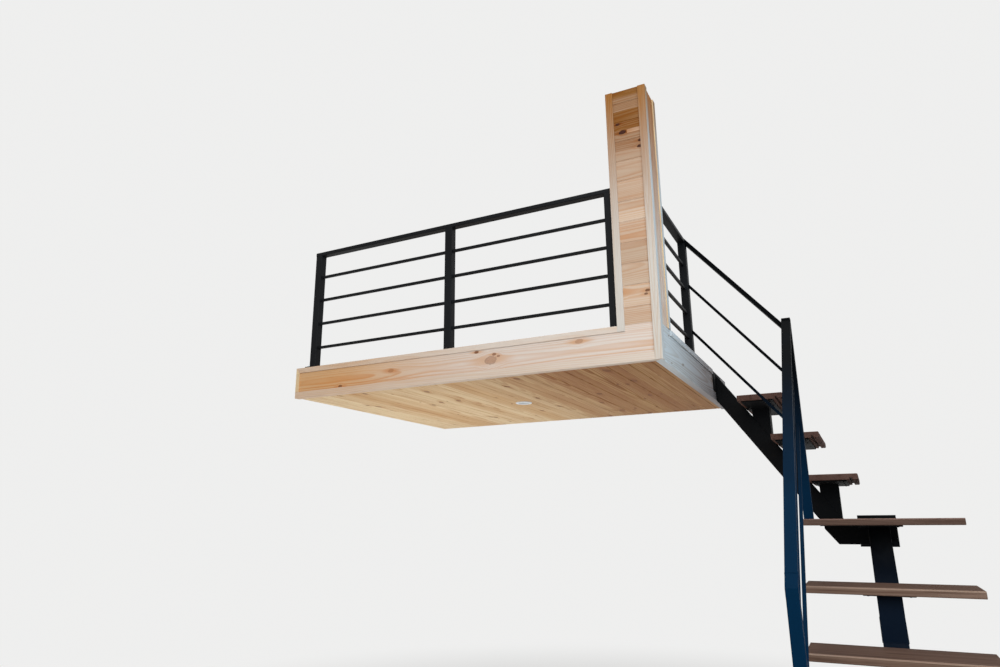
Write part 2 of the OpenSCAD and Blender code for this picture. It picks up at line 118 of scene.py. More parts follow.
class NodeSketch:
    """Node tree of one material, with a short method for each node that the finishes use."""

    def __init__(self, name: str) -> None:
        """Start an empty material with its main shader.

        Args:
            name: name of the material.
        """
        self.material = bpy.data.materials.new(name)
        self.material.use_nodes = True
        self.tree = self.material.node_tree
        self.tree.nodes.clear()
        self.output = self.tree.nodes.new("ShaderNodeOutputMaterial")
        self.shader = self.tree.nodes.new("ShaderNodeBsdfPrincipled")
        self.tree.links.new(self.shader.outputs["BSDF"], self.output.inputs["Surface"])
        self.place = self.tree.nodes.new("ShaderNodeTexCoord").outputs["Object"]

    def add(
        self, kind: str, inputs: dict[Union[str, int], Signal], **settings: object
    ) -> bpy.types.Node:
        """Add a node, set it up and feed its inputs.

        Args:
            kind: node type without its common prefix.
            inputs: signals by input name or number.
            settings: attributes of the node.

        Returns:
            The new node.
        """
        node = self.tree.nodes.new("ShaderNode" + kind)
        for key, value in settings.items():
            setattr(node, key, value)
        for key, signal in inputs.items():
            self.feed(node.inputs[key], signal)
        return node

    def feed(self, socket: Socket, signal: Signal) -> None:
        """Link a signal to a socket, or write it there when it is a plain value.

        Args:
            socket: input to feed.
            signal: output socket, number or colour.
        """
        if isinstance(signal, bpy.types.NodeSocket):
            self.tree.links.new(signal, socket)
        else:
            socket.default_value = signal

    def set(self, name: str, signal: Signal) -> None:
        """Feed an input of the main shader."""
        self.feed(self.shader.inputs[name], signal)

    def maths(
        self, operation: str, first: Signal, second: Signal = 0.0, third: Signal = 0.0,
        clamp: bool = False,
    ) -> Socket:
        """Return the result of one arithmetic node."""
        inputs = {0: first, 1: second, 2: third}
        return self.add("Math", inputs, operation=operation, use_clamp=clamp).outputs[0]

    def times(self, first: Signal, second: Signal, clamp: bool = False) -> Socket:
        """Return a product."""
        return self.maths("MULTIPLY", first, second, clamp=clamp)

    def minus(self, first: Signal, second: Signal) -> Socket:
        """Return a difference."""
        return self.maths("SUBTRACT", first, second)

    def most(self, first: Signal, second: Signal) -> Socket:
        """Return the larger of two signals."""
        return self.maths("MAXIMUM", first, second)

    def fit(self, value: Signal, gain: Signal, lift: Signal, clamp: bool = False) -> Socket:
        """Return a value times its gain, plus a lift."""
        return self.maths("MULTIPLY_ADD", value, gain, lift, clamp)

    def reach(self, first: Signal, second: Signal) -> Socket:
        """Return the length of a vector with two parts."""
        inputs = {0: self.join(first, second, 0.0)}
        return self.add("VectorMath", inputs, operation="LENGTH").outputs["Value"]

    def split(self, vector: Signal) -> list[Socket]:
        """Return the three parts of a vector."""
        return list(self.add("SeparateXYZ", {0: vector}).outputs)

    def join(self, first: Signal, second: Signal, third: Signal) -> Socket:
        """Return a vector made of three parts."""
        return self.add("CombineXYZ", {0: first, 1: second, 2: third}).outputs[0]

    def noise(
        self, vector: Signal, scale: float, detail: float = 2.0, rough: float = 0.5
    ) -> Socket:
        """Return soft noise from 0 to 1."""
        inputs = {"Vector": vector, "Scale": scale, "Detail": detail, "Roughness": rough}
        return self.add("TexNoise", inputs).outputs[0]

    def span(
        self, value: Signal, low: Signal, high: Signal, start: Signal = 0.0, end: Signal = 1.0
    ) -> Socket:
        """Return a value carried smoothly from one range to another."""
        inputs = {"Value": value, "From Min": low, "From Max": high, "To Min": start, "To Max": end}
        return self.add("MapRange", inputs, interpolation_type="SMOOTHSTEP").outputs[0]

    def blend(self, factor: Signal, first: Signal, second: Signal, kind: str = "MIX") -> Socket:
        """Return two colours mixed by a factor."""
        # A colour mix takes its two colours at 6 and 7, and gives its result at 2.
        node = self.add("Mix", {0: factor, 6: first, 7: second}, data_type="RGBA", blend_type=kind)
        return node.outputs[2]

    def relief(self, height: Signal, depth: float, strength: float) -> Socket:
        """Return a normal that follows a height of the given depth in metres."""
        inputs = {"Height": height, "Distance": depth, "Strength": strength}
        return self.add("Bump", inputs).outputs["Normal"]


@dataclass
class Lay:
    """How a board lies: its coordinates along the grain, over its width and through it."""

    sketch: NodeSketch
    along: Signal
    across: Signal
    depth: Signal
    rough: float = 0.55

    def drawn(self, slow: float, fast: float, detail: float) -> Socket:
        """Return noise that is drawn out along the grain.

        Args:
            slow: scale along the grain.
            fast: scale over the width and through the board.
            detail: octaves of the noise.

        Returns:
            Noise from 0 to 1.
        """
        s = self.sketch
        flat = (s.times(self.along, slow), s.times(self.across, fast))
        return s.noise(s.join(*flat, s.times(self.depth, fast)), 1.0, detail, self.rough)


@dataclass
class KnotMasks:
    """Signals of all knots of one board, joined knot by knot."""

    sketch: NodeSketch
    core: Signal = 0.0
    rim: Signal = 0.0
    halo: Signal = 0.0
    bend: Signal = 0.0
    squeeze: float = 0.62
    tail: float = 0.22
    lump_scale: float = 60.0
    lump: Pair = (0.7, 0.65)
    years: float = 21.0
    year_tone: Pair = (0.12, 0.82)
    spokes: Pair = (2.6, 0.5)
    crack: Pair = (0.56, 0.66)
    crack_reach: Band = (0.15, 1.6, 1.0, 0.0)
    crack_dark: float = 0.5
    core_reach: Band = (0.8, 1.1, 1.0, 0.0)
    rim_reach: Band = (0.03, 0.22, 0.8, 0.0)
    halo_reach: Band = (0.5, 1.9, 0.6, 0.0)
    bend_reach: Band = (0.5, 3.6, 0.85, 0.0)

    def include(self, run: Signal, offset: Signal, radius: Signal, dark: Signal) -> None:
        """Add one knot.

        Args:
            run: distance from its centre along the grain.
            offset: distance from its centre over the board's width.
            radius: its radius.
            dark: how dark it is, from 0 to 1.
        """
        s = self.sketch
        short = s.times(run, self.squeeze)
        uneven = s.fit(s.noise(s.join(run, offset, 0.0), self.lump_scale), *self.lump)
        share = s.maths("DIVIDE", s.times(s.reach(short, offset), uneven), radius)
        year = s.fit(s.maths("SINE", s.times(share, self.years)), *self.year_tone)
        turn = s.times(s.maths("ARCTAN2", offset, short), self.spokes[0])
        spokes = s.noise(s.join(turn, s.times(share, self.spokes[1]), radius), 1.0, 1.0)
        cracks = s.times(s.span(spokes, *self.crack), s.span(share, *self.crack_reach))
        year = s.fit(cracks, self.crack_dark, year)
        core = s.times(s.span(share, *self.core_reach), s.times(year, dark), clamp=True)
        edge = s.maths("ABSOLUTE", s.minus(share, 1.0))
        rim = s.times(s.span(edge, *self.rim_reach), dark)
        tail = s.maths("DIVIDE", s.reach(s.times(run, self.tail), offset), radius)
        pull = s.times(offset, s.span(share, *self.bend_reach))
        self.core = s.most(self.core, core)
        self.rim = s.most(self.rim, rim)
        self.halo = s.most(self.halo, s.span(tail, *self.halo_reach))
        self.bend = s.maths("ADD", self.bend, pull)


@dataclass(frozen=True)
class KnotCells:
    """Scattered knots: cells to the metre both ways, slant, least radius and chances."""

    per_length: float = 3.4
    per_width: float = 10.0
    jitter: float = 0.85
    slant: Pair = (0.6, -0.3)
    radius: float = 2.5 * MM
    dark: Pair = (-0.45, 1.0)
    away: float = 9.0

    def strew(self, lay: Lay, masks: KnotMasks, share: float, size: float) -> None:
        """Scatter knots over a board.

        Args:
            lay: coordinates of the board.
            masks: signals of the knots, which it adds to.
            share: share of the cells that hold a knot.
            size: what a large knot has over the least radius.
        """
        s = lay.sketch
        across = s.times(lay.across, self.per_width)
        cells = s.join(s.times(lay.along, self.per_length), across, 0.0)
        inputs = {"Vector": cells, "Scale": 1.0, "Randomness": self.jitter}
        cell = s.add("TexVoronoi", inputs, voronoi_dimensions="2D")
        chance, bulk, tilt = s.split(cell.outputs["Color"])
        along, across, _ = s.split(cell.outputs["Position"])
        run = s.minus(lay.along, s.maths("DIVIDE", along, self.per_length))
        offset = s.minus(lay.across, s.maths("DIVIDE", across, self.per_width))
        offset = s.fit(run, s.fit(tilt, *self.slant), offset)
        radius = s.fit(s.maths("POWER", bulk, 2.0), size, self.radius)
        run = s.fit(s.maths("GREATER_THAN", chance, share), self.away, run)
        masks.include(run, offset, radius, s.fit(bulk, *self.dark))


@dataclass(frozen=True)
class Log:
    """Growth rings of a slightly leaning log, cut where the board lay in it."""

    ring: float = 5.0 * MM
    drift: Point = (0.8, 1.6, 2.0)
    shift: float = 0.13
    half_width: float = 0.12
    heart: float = 0.04
    half_depth: float = 0.1
    below: float = 0.06
    wander: float = 0.055
    lean: float = 0.008
    rise: Pair = (0.35, 0.85)
    fall: Band = (0.9, 1.0, 1.0, 0.0)

    def late_wood(self, lay: Lay, face: float, centre: Signal) -> Socket:
        """Cut the rings.

        Args:
            lay: coordinates of the board, bent round its knots.
            face: place of its face through the board.
            centre: chance value that places the heart of the log.

        Returns:
            Latewood from 0 to 1.
        """
        s = lay.sketch
        wide = s.maths("PINGPONG", s.fit(centre, self.shift, lay.across), self.half_width)
        deep = s.maths("PINGPONG", s.minus(lay.depth, face), self.half_depth)
        radius = s.reach(s.minus(wide, self.heart), s.maths("ADD", deep, self.below))
        radius = s.fit(lay.drawn(*self.drift), self.wander, radius)
        radius = s.fit(lay.along, self.lean, radius)
        year = s.maths("FRACT", s.maths("DIVIDE", radius, self.ring))
        return s.times(s.span(year, *self.rise), s.span(year, *self.fall))


@dataclass(frozen=True)
class Tones:
    """Display colours of a wood: its early wood, late wood, heartwood and knots."""

    pale: str
    tan: str
    heart: str
    knot: str = "5A3220"


@dataclass(frozen=True)
class Shade:
    """Darker stretches painted into a wood, mostly painted shade: their tint, then a row for each,
    in millimetres.

    A row gives its two ends along the grain and over the width, its strength and soft edge.
    """

    tint: Point
    rows: tuple[Row, ...]


@dataclass(frozen=True)
class WoodFinish:
    """Planed softwood: growth rings, fibres, knots, a tone for each board and painted darker
    stretches.
    """

    name: str
    grain: Grain
    tones: Tones
    seed: float
    board: float = 0.0
    start: float = 0.0
    face: float = 0.0
    line: float = 0.85
    spread: float = 0.45
    knots: float = 0.5
    knot_size: float = 12 * MM
    placed: tuple[Row, ...] = ()
    shade: Shade = Shade((1.0, 1.0, 1.0), ())
    rough: float = 0.55
    shine: float = 0.1
    coat: float = 0.0
    coat_rough: float = 0.3
    log: Log = Log()
    cells: KnotCells = KnotCells()
    jump: Pair = (7.0, 3.0)
    fibre: Point = (9.0, 260.0, 3.0)
    fibre_share: float = 0.3
    streak: Point = (1.3, 70.0, 5.0)
    streak_level: Pair = (0.5, 0.74)
    streak_share: float = 0.8
    thread: Point = (2.4, 190.0, 2.0)
    thread_level: Pair = (0.55, 0.72)
    thread_share: float = 0.7
    cloud: Point = (1.1, 9.0, 2.0)
    cloud_level: Pair = (0.3, 0.72)
    cloud_line: Pair = (0.75, 0.25)
    cloud_share: float = 0.3
    deep_line: Pair = (0.25, 0.95)
    rim_light: float = 0.4
    rough_range: float = 0.18
    late_sunk: float = -0.5
    rim_sunk: float = -1.5
    relief: Pair = (0.25 * MM, 0.6)

    def make(self) -> Material:
        """Build the material.

        Returns:
            The finished material.
        """
        s = NodeSketch(self.name)
        parts = dict(zip("XYZ", s.split(s.place)))
        lay = Lay(s, *(parts[letter] for letter in self.grain.value))
        masks = KnotMasks(s)
        for along, across, radius, dark in self.placed:
            run, offset = s.minus(lay.along, along * MM), s.minus(lay.across, across * MM)
            masks.include(run, offset, radius * MM, dark)
        shade_and_tone = self._darken(lay)
        first, second, third = self._chances(lay)
        lay.along = s.fit(first, self.jump[0], lay.along)
        lay.across = s.fit(second, self.jump[1], lay.across)
        self.cells.strew(lay, masks, self.knots, self.knot_size)
        lay.across = s.minus(lay.across, masks.bend)
        late = self.log.late_wood(lay, self.face, second)
        fibre = lay.drawn(*self.fibre)
        s.set("Base Color", self._colour(lay, masks, (late, fibre, third, shade_and_tone)))
        s.set("Roughness", s.fit(fibre, self.rough_range, self.rough - self.rough_range / 2))
        s.set("Specular IOR Level", self.shine)
        if self.coat:
            s.set("Coat Weight", self.coat)
            s.set("Coat Roughness", self.coat_rough)
        height = s.fit(masks.rim, self.rim_sunk, s.fit(late, self.late_sunk, fibre))
        s.set("Normal", s.relief(height, *self.relief))
        return s.material

    def _darken(self, lay: Lay) -> Signal:
        """Join the painted darker stretches, which are mostly painted shade.

        Args:
            lay: coordinates of the board.

        Returns:
            How strongly the painted darkening applies, from 0 to 1.
        """
        s = lay.sketch
        total: Signal = 0.0
        for *ends, strength, soft in self.shade.rows:
            inside: Signal = strength
            for value, low, high in ((lay.along, *ends[:2]), (lay.across, *ends[2:])):
                rise = s.span(value, (low - soft) * MM, (low + soft) * MM)
                fall = s.span(value, (high - soft) * MM, (high + soft) * MM, 1.0, 0.0)
                inside = s.times(inside, s.times(rise, fall))
            total = s.most(total, inside)
        return total

    def _chances(self, lay: Lay) -> list[Socket]:
        """Draw three chance values for each board.

        Args:
            lay: coordinates of the board.

        Returns:
            The three values, from 0 to 1.
        """
        s = lay.sketch
        lot: Signal = self.seed
        if self.board:
            count = s.maths("DIVIDE", s.minus(lay.across, self.start), self.board)
            lot = s.maths("ADD", s.maths("FLOOR", count), self.seed)
        chance = s.add("TexWhiteNoise", {"W": lot}, noise_dimensions="1D")
        return s.split(chance.outputs["Color"])

    def _colour(self, lay: Lay, masks: KnotMasks, looks: Sequence[Signal]) -> Socket:
        """Mix early wood, late wood, heartwood, painted darker stretches and knots.

        Args:
            lay: coordinates of the board, bent round its knots.
            masks: signals of the knots.
            looks: late wood, fibre, chance of heartwood, and the painted darkening.

        Returns:
            The colour of the wood.
        """
        s = lay.sketch
        late, fibre, chance, shade_and_tone = looks
        pale, tan, heart = tone(self.tones.pale), tone(self.tones.tan), tone(self.tones.heart)
        knot = tone(self.tones.knot)
        streak = s.span(lay.drawn(*self.streak), *self.streak_level)
        thread = s.span(lay.drawn(*self.thread), *self.thread_level)
        streak = s.most(streak, s.times(thread, self.thread_share))
        cloud = s.span(lay.drawn(*self.cloud), *self.cloud_level)
        line = s.times(late, s.fit(cloud, *self.cloud_line))
        warm = s.times(s.most(line, s.times(streak, self.streak_share)), self.line)
        warm = s.fit(s.minus(fibre, 0.5), self.fibre_share, warm, clamp=True)
        mood = s.fit(cloud, self.cloud_share, s.times(chance, self.spread), clamp=True)
        colour = s.blend(warm, s.blend(mood, pale, heart), tan)
        colour = s.blend(masks.halo, colour, tan)
        # Painted darkening, mostly painted shade, multiplies the colour by its tint, a little more
        # on the grain lines.
        if self.shade.rows:
            shade_and_tone = s.times(shade_and_tone, s.fit(warm, *self.deep_line), clamp=True)
            colour = s.blend(shade_and_tone, colour, (*self.shade.tint, 1.0), "MULTIPLY")
        colour = s.blend(masks.core, colour, knot)
        return s.blend(masks.rim, colour, dimmed(knot, self.rim_light))


@dataclass(frozen=True)
class SteelFinish:
    """Satin powder coat on steel: fine orange peel, a little dust and worn spots, and low down a
    painted blue reflection where the foot colour differs.
    """

    name: str
    base: Colour
    dust: Colour
    # Colour low down: a painted blue reflection on newels and stair; the guard's equals its base.
    foot: Colour
    painted_sheen_levels: Pair = (-1000 * MM, 0.0)
    rough: float = 0.5
    shine: float = 0.1
    cloud: Point = (5.0, 5.0, 0.6)
    cloud_level: Pair = (0.35, 0.75)
    grit: Point = (260.0, 2.0, 0.6)
    grit_level: Band = (0.68, 0.78, 0.0, 0.16)
    peel: Pair = (700.0, 1.0)
    lying: Band = (0.3, 0.95, 0.06, 0.32)
    rough_range: float = 0.16
    swell: float = 0.4
    relief: Pair = (0.06 * MM, 0.5)

    def make(self) -> Material:
        """Build the material.

        Returns:
            The finished material.
        """
        s = NodeSketch(self.name)
        cloud = s.noise(s.place, *self.cloud)
        height = s.split(s.place)[2]
        grit = s.noise(s.place, *self.grit)
        peel = s.noise(s.place, *self.peel)
        up = s.split(s.add("NewGeometry", {}).outputs["Normal"])[2]
        veil = s.times(s.span(cloud, *self.cloud_level), s.span(up, *self.lying))
        # Painted blue reflection: the base turns to the foot colour low down.
        coat_and_painted_sheen = s.blend(s.span(height, *self.painted_sheen_levels), self.foot, self.base)
        colour = s.blend(veil, coat_and_painted_sheen, self.dust)
        s.set("Base Color", s.blend(s.span(grit, *self.grit_level), colour, self.dust))
        s.set("Roughness", s.fit(cloud, self.rough_range, self.rough - self.rough_range / 2))
        s.set("Specular IOR Level", self.shine)
        s.set("Normal", s.relief(s.fit(cloud, self.swell, peel), *self.relief))
        return s.material


@dataclass(frozen=True)
class ZincFinish:
    """Zinc-plated bolts and screws, with cloudy spangle."""

    name: str
    base: Colour
    spangle: Pair = (420.0, 3.0)
    level: Pair = (0.3, 0.7)
    dull: float = 0.55
    metal: float = 0.85
    rough: Pair = (0.3, 0.22)
    relief: Pair = (0.05 * MM, 0.5)

    def make(self) -> Material:
        """Build the material.

        Returns:
            The finished material.
        """
        s = NodeSketch(self.name)
        cloud = s.noise(s.place, *self.spangle)
        dull = dimmed(self.base, self.dull)
        s.set("Base Color", s.blend(s.span(cloud, *self.level), dull, self.base))
        s.set("Metallic", self.metal)
        s.set("Roughness", s.fit(cloud, *self.rough))
        s.set("Normal", s.relief(cloud, *self.relief))
        return s.material


@dataclass(frozen=True)
class LampFinish:
    """Painted ring or frosted lens of the recessed lamp."""

    name: str
    base: Colour
    rough: float
    frost: Pair = (900.0, 2.0)
    dull: float = 0.9
    rough_range: float = 0.15
    relief: Pair = (0.04 * MM, 0.4)

    def make(self) -> Material:
        """Build the material.

        Returns:
            The finished material.
        """
        s = NodeSketch(self.name)
        frost = s.noise(s.place, *self.frost)
        s.set("Base Color", s.blend(frost, dimmed(self.base, self.dull), self.base))
        s.set("Roughness", s.fit(frost, self.rough_range, self.rough))
        s.set("Normal", s.relief(frost, *self.relief))
        return s.material


def make_all(*finishes: Union[WoodFinish, SteelFinish]) -> Materials:
    """Return the material of each finish."""
    return tuple(finish.make() for finish in finishes)


FRONT, SIDE, COVER = -1356 * MM, 880 * MM, 88 * MM
FACE = Tones("DAD1C9", "C68F60", "D0BBAC", "6E3A22")
COLUMN = Tones("D0BDA9", "BB8355", "C6A890", "3A1C14")
TRIM = Tones("CCC5BD", "C0A185", "C5B9AC")
LEVEL = Tones("D6C9BE", "C9A27F", "CDB8A5")
# Pale bluish pine tones: painted cool daylight on the sides that face the stair.
PAINTED_COOL_LIGHT = Tones("D2D8DB", "A59786", "C3C8CB", "5A4438")
# Honey pine: the soffit's own colour; on a few trim faces it is painted warm light.
AMBER = Tones("E6CFA8", "B07C4A", "CDA677", "6E3C16")
FRAME = Tones("D9BC92", "B98A57", "C9A173")
UMBER = Tones("684F47", "432B23", "553C33", "2A1812")
ROSE = Tones("8B7161", "523A2E", "705648", "3A231A")
WALNUT = Tones("6A5348", "46332A", "584338", "2E1D16")
# Lighter tread edges: partly wear, partly a painted highlight on the eased arris.
WORN_HIGHLIGHT_UMBER = Tones("86695E", "5E4740", "765C52", "4A3226")
WORN_HIGHLIGHT_ROSE = Tones("998070", "765C4B", "886F5E", "4A3226")

# A knot's row gives its place along the grain and over the width, its radius, all in
# millimetres, and how dark it is.
FASCIA_KNOTS = (
    (172, 1, 16, 0.38), (187, 24, 5, 0.75), (207, 15, 4, 0.65), (104, 42, 5.5, 0.95),
    (-613, -36, 6, 0.8), (560, 34, 9, 0.3), (-330, 8, 8, 0.3),
)
COLUMN_KNOTS = (
    (762, 925, 5, 1.1), (781, 885, 8, 1.2), (851, 832, 5, 1.1), (848, 806, 6, 1.1),
    (842, 199, 5, 0.8), (836, 186, 4, 0.8),
)
SOFFIT_KNOTS = (
    (-1256, 242, 11, 0.85), (-744, 426, 11, 0.85), (-1279, -528, 8, 0.85),
    (-849, -425, 8, 0.85), (-1287, -663, 6, 0.85), (-976, 660, 12, 0.6), (-595, 625, 9, 0.85),
)
# Column front: the rows below 669.5 mm darken single boards, their own tone; from there up the
# darkening grows towards the top, painted shade where the light falls off, and the knotty board
# from 893 to 985 mm is also a darker board.
COLUMN_TONE_AND_SHADE_ROWS = (
    (0, 1000, 1045, 2000, 1.0, 3), (0, 1000, 985, 1048, 0.8, 3), (0, 1000, 893, 985, 0.97, 1),
    (0, 800, 878, 893, 0.97, 1), (800, 1000, 880, 893, 0.35, 1), (0, 1000, 803, 878, 0.72, 1),
    (0, 1000, 757.5, 803, 0.48, 1), (0, 1000, 669.5, 757.5, 0.35, 1),
    (0, 1000, 540, 669.5, 0.22, 20), (0, 1000, 405.5, 493.5, 0.12, 1),
    (0, 1000, 317.5, 405.5, 0.32, 1), (0, 1000, 229.5, 317.5, 0.2, 1),
    (0, 1000, -1000, 141.5, 0.12, 1),
)
COLUMN_TONE_AND_SHADE = Shade((0.34, 0.17, 0.03), COLUMN_TONE_AND_SHADE_ROWS)
# Painted shade: the left part of the front fascia and of its level trims darkens towards amber.
FASCIA_PAINTED_SHADE = Shade((0.95, 0.6, 0.25), ((-2000, -250, -1000, 1000, 0.85, 450),))
LEVEL_PAINTED_SHADE = Shade((0.95, 0.6, 0.25), ((-2000, -250, -1000, 1000, 0.35, 450),))
# Painted shade towards the top of the column: on its side boards and upright trims above about 700
# mm, on the trims' cool outer faces above about 900 mm.
UPRIGHT_PAINTED_SHADE = Shade((0.47, 0.19, 0.01), ((700, 3000, -2000, 2000, 1.0, 480),))
COOL_TRIM_PAINTED_SHADE = Shade((0.47, 0.19, 0.01), ((900, 3000, -2000, 2000, 1.0, 300),))
# Painted shade towards the back of the side fascia and of its side trim.
REAR_PAINTED_SHADE = Shade((0.42, 0.34, 0.33), ((-900, 2000, -1000, 1000, 0.85, 400),))
# Lower treads darker where y is below -1090 mm, from the second tread's front down.
LOWER_TREADS_DARKER = Shade((0.55, 0.5, 0.47), ((-2000, 4000, -3000, -1090, 0.5, 60),))
# Painted shade over the right part of the soffit.
SOFFIT_PAINTED_SHADE = Shade((0.5, 0.31, 0.13), ((-3000, 1000, 200, 2000, 0.9, 350),))


class Palette:
    """All finishes of the loft, made once and shared."""

    def __init__(self) -> None:
        """Make every material."""
        self.fascia_front, self.fascia_side, self.column_front, self.column_side = self._faces()
        self.deck, self.soffit = self._boards()
        self.trim_x, self.trim_y, self.trim_limed, self.trim_amber, self.trim_z = self._trims()
        self.frame_x, self.frame_y, self.frame_z = self._framing()
        self.tread_y, self.tread_x, self.landing, self.worn_y, self.worn_highlight_x = self._treads()
        self.guard, self.newel, self.stair = self._steel()
        self.zinc = ZincFinish("zinc_plate", tone("B9BEC2")).make()
        self.ring = LampFinish("lamp_ring_paint", tone("E9EBEC"), rough=0.35).make()
        self.lens = LampFinish("lamp_lens_frost", tone("DDE3E8"), rough=0.25).make()

    def _faces(self) -> Materials:
        """Return the pine of the front and side fascia, and of the column's front and side."""
        return make_all(
            WoodFinish(
                "fascia_front_pine", Grain.FRONT_LEVEL, FACE, seed=3.0, face=FRONT, knots=0.12,
                line=0.7, placed=FASCIA_KNOTS, shade=FASCIA_PAINTED_SHADE,
            ),
            # Side fascia: painted cool daylight in its tones and painted shade towards the back.
            WoodFinish(
                "fascia_side_pine", Grain.SIDE_LEVEL, PAINTED_COOL_LIGHT, seed=8.0, face=SIDE, shade=REAR_PAINTED_SHADE
            ),
            WoodFinish(
                "column_front_pine", Grain.FRONT_LEVEL, COLUMN, seed=21.0, board=COVER,
                start=53.5 * MM, face=FRONT, knots=0.16, spread=0.7, line=0.65,
                placed=COLUMN_KNOTS, shade=COLUMN_TONE_AND_SHADE,
            ),
            WoodFinish(
                "column_side_pine", Grain.SIDE_UPRIGHT, FACE, seed=31.0, board=75.5 * MM,
                start=-1280.5 * MM, face=SIDE, shade=UPRIGHT_PAINTED_SHADE,
            ),
        )

    def _boards(self) -> Materials:
        """Return the pine of the deck and of the soffit."""
        board = partial(WoodFinish, grain=Grain.FLAT_INWARD, board=COVER, start=-889.5 * MM)
        return make_all(
            board(
                "deck_pine", tones=FACE, seed=41.0, face=73.5 * MM, spread=0.6, rough=0.5,
                shine=0.2, coat=0.08,
            ),
            board(
                "soffit_pine", tones=AMBER, seed=57.0, face=-66.5 * MM, spread=0.9, knots=0.6,
                placed=SOFFIT_KNOTS, shade=SOFFIT_PAINTED_SHADE,
            ),
        )

    def _trims(self) -> Materials:
        """Return the pine of the level and side trims, a copy with painted cool daylight, a copy
        with painted warm light, and the upright trims.
        """
        level = partial(WoodFinish, face=FRONT, knots=0.1, line=0.5, knot_size=5 * MM)
        upright = partial(level, grain=Grain.FRONT_UPRIGHT)
        return make_all(
            level("trim_front_pine", Grain.FRONT_LEVEL, LEVEL, seed=61.0, shade=LEVEL_PAINTED_SHADE),
            level(
                "trim_side_pine", Grain.SIDE_LEVEL, PAINTED_COOL_LIGHT, seed=63.0, face=SIDE, shade=REAR_PAINTED_SHADE
            ),
            upright("trim_limed_pine", tones=PAINTED_COOL_LIGHT, seed=64.0, line=0.8, shade=COOL_TRIM_PAINTED_SHADE),
            upright("trim_amber_pine", tones=AMBER, seed=65.0, knots=0.0),
            upright("trim_upright_pine", tones=TRIM, seed=67.0, knots=0.08, shade=UPRIGHT_PAINTED_SHADE),
        )

    def _framing(self) -> Materials:
        """Return the rougher pine of the framing, by the way it runs."""
        sawn = partial(WoodFinish, tones=FRAME, rough=0.7)
        return make_all(
            sawn("framing_pine_along", Grain.FRONT_LEVEL, seed=71.0),
            sawn("framing_pine_inward", Grain.SIDE_LEVEL, seed=73.0),
            sawn("framing_pine_upright", Grain.FRONT_UPRIGHT, seed=79.0, face=FRONT),
        )

    def _treads(self) -> Materials:
        """Return the stains of upper treads, lower treads and landing, then two worn edges with a
        painted highlight.
        """
        lower = partial(
            WoodFinish, grain=Grain.FLAT_LEVEL, board=58 * MM, line=1.0, knots=0.15, rough=0.78,
            shine=0.05,
        )
        upper = partial(lower, grain=Grain.FLAT_INWARD, board=65 * MM)
        return make_all(
            upper("upper_tread_stain", tones=UMBER, seed=83.0),
            lower("lower_tread_stain", tones=ROSE, seed=89.0, shade=LOWER_TREADS_DARKER),
            lower("landing_stain", tones=WALNUT, seed=97.0, knots=0.1),
            upper("upper_tread_worn_edge", tones=WORN_HIGHLIGHT_UMBER, seed=83.0, knots=0.0, rough=0.7),
            lower("lower_tread_worn_edge", tones=WORN_HIGHLIGHT_ROSE, seed=89.0, knots=0.0, rough=0.7),
        )

    def _steel(self) -> Materials:
        """Return the powder coats of guard, newels and stair, the last two with a painted blue
        reflection low down.
        """
        black = tone("0C0D0F")
        return make_all(
            SteelFinish("guard_powder_coat", black, tone("3A3E44"), foot=black),
            SteelFinish(
                "newel_coat_painted_blue_sheen", tone("050607"), tone("0F161E"),
                foot=(0.0011, 0.017, 0.043, 1.0), painted_sheen_levels=(-700 * MM, 40 * MM), shine=0.018,
            ),
            SteelFinish(
                "stair_coat_painted_blue_sheen", tone("0B0B0C"), tone("303133"),
                foot=(0.001, 0.0055, 0.0145, 1.0), painted_sheen_levels=(-1000 * MM, -700 * MM),
                rough=0.62, shine=0.05,
            ),
        )


def settle(
    mesh: Mesh, name: str, finishes: Sequence[Material], smooth: bool = False
) -> bpy.types.Object:
    """Turn a worked mesh into a piece that rides on the loft.

    Args:
        mesh: the finished mesh, in place.
        name: name of the piece.
        finishes: its materials.
        smooth: whether its faces are shaded smooth.

    Returns:
        The new object.
    """
    data = bpy.data.meshes.new(name)
    for face in mesh.faces:
        face.smooth = smooth
    mesh.to_mesh(data)
    mesh.free()
    piece = bpy.data.objects.new(name, data)
    bpy.context.scene.collection.objects.link(piece)
    for finish in finishes:
        data.materials.append(finish)
    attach(piece, BODY)
    LOG.info("piece %s: %d faces", name, len(data.polygons))
    return piece


def dress(finish: Material, *nodes: str) -> None:
    """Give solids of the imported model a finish, in place of their plain colour.

    Args:
        finish: their material.
        nodes: names of the solids.
    """
    for node in nodes:
        solid = bpy.data.objects[node]
        solid.data.materials.clear()
        solid.data.materials.append(finish)
        LOG.info("dressed %s", node)


def ease(mesh: Mesh, edges: Sequence[bmesh.types.BMEdge], width: float, segments: int) -> None:
    """Round edges of a mesh.

    Args:
        mesh: mesh that has the edges.
        edges: edges to round.
        width: width of the rounding.
        segments: steps over each edge.
    """
    bmesh.ops.bevel(
        mesh, geom=edges, offset=width, offset_type="OFFSET", affect="EDGES",
        segments=segments, profile=0.5, material=-1, clamp_overlap=True,
    )


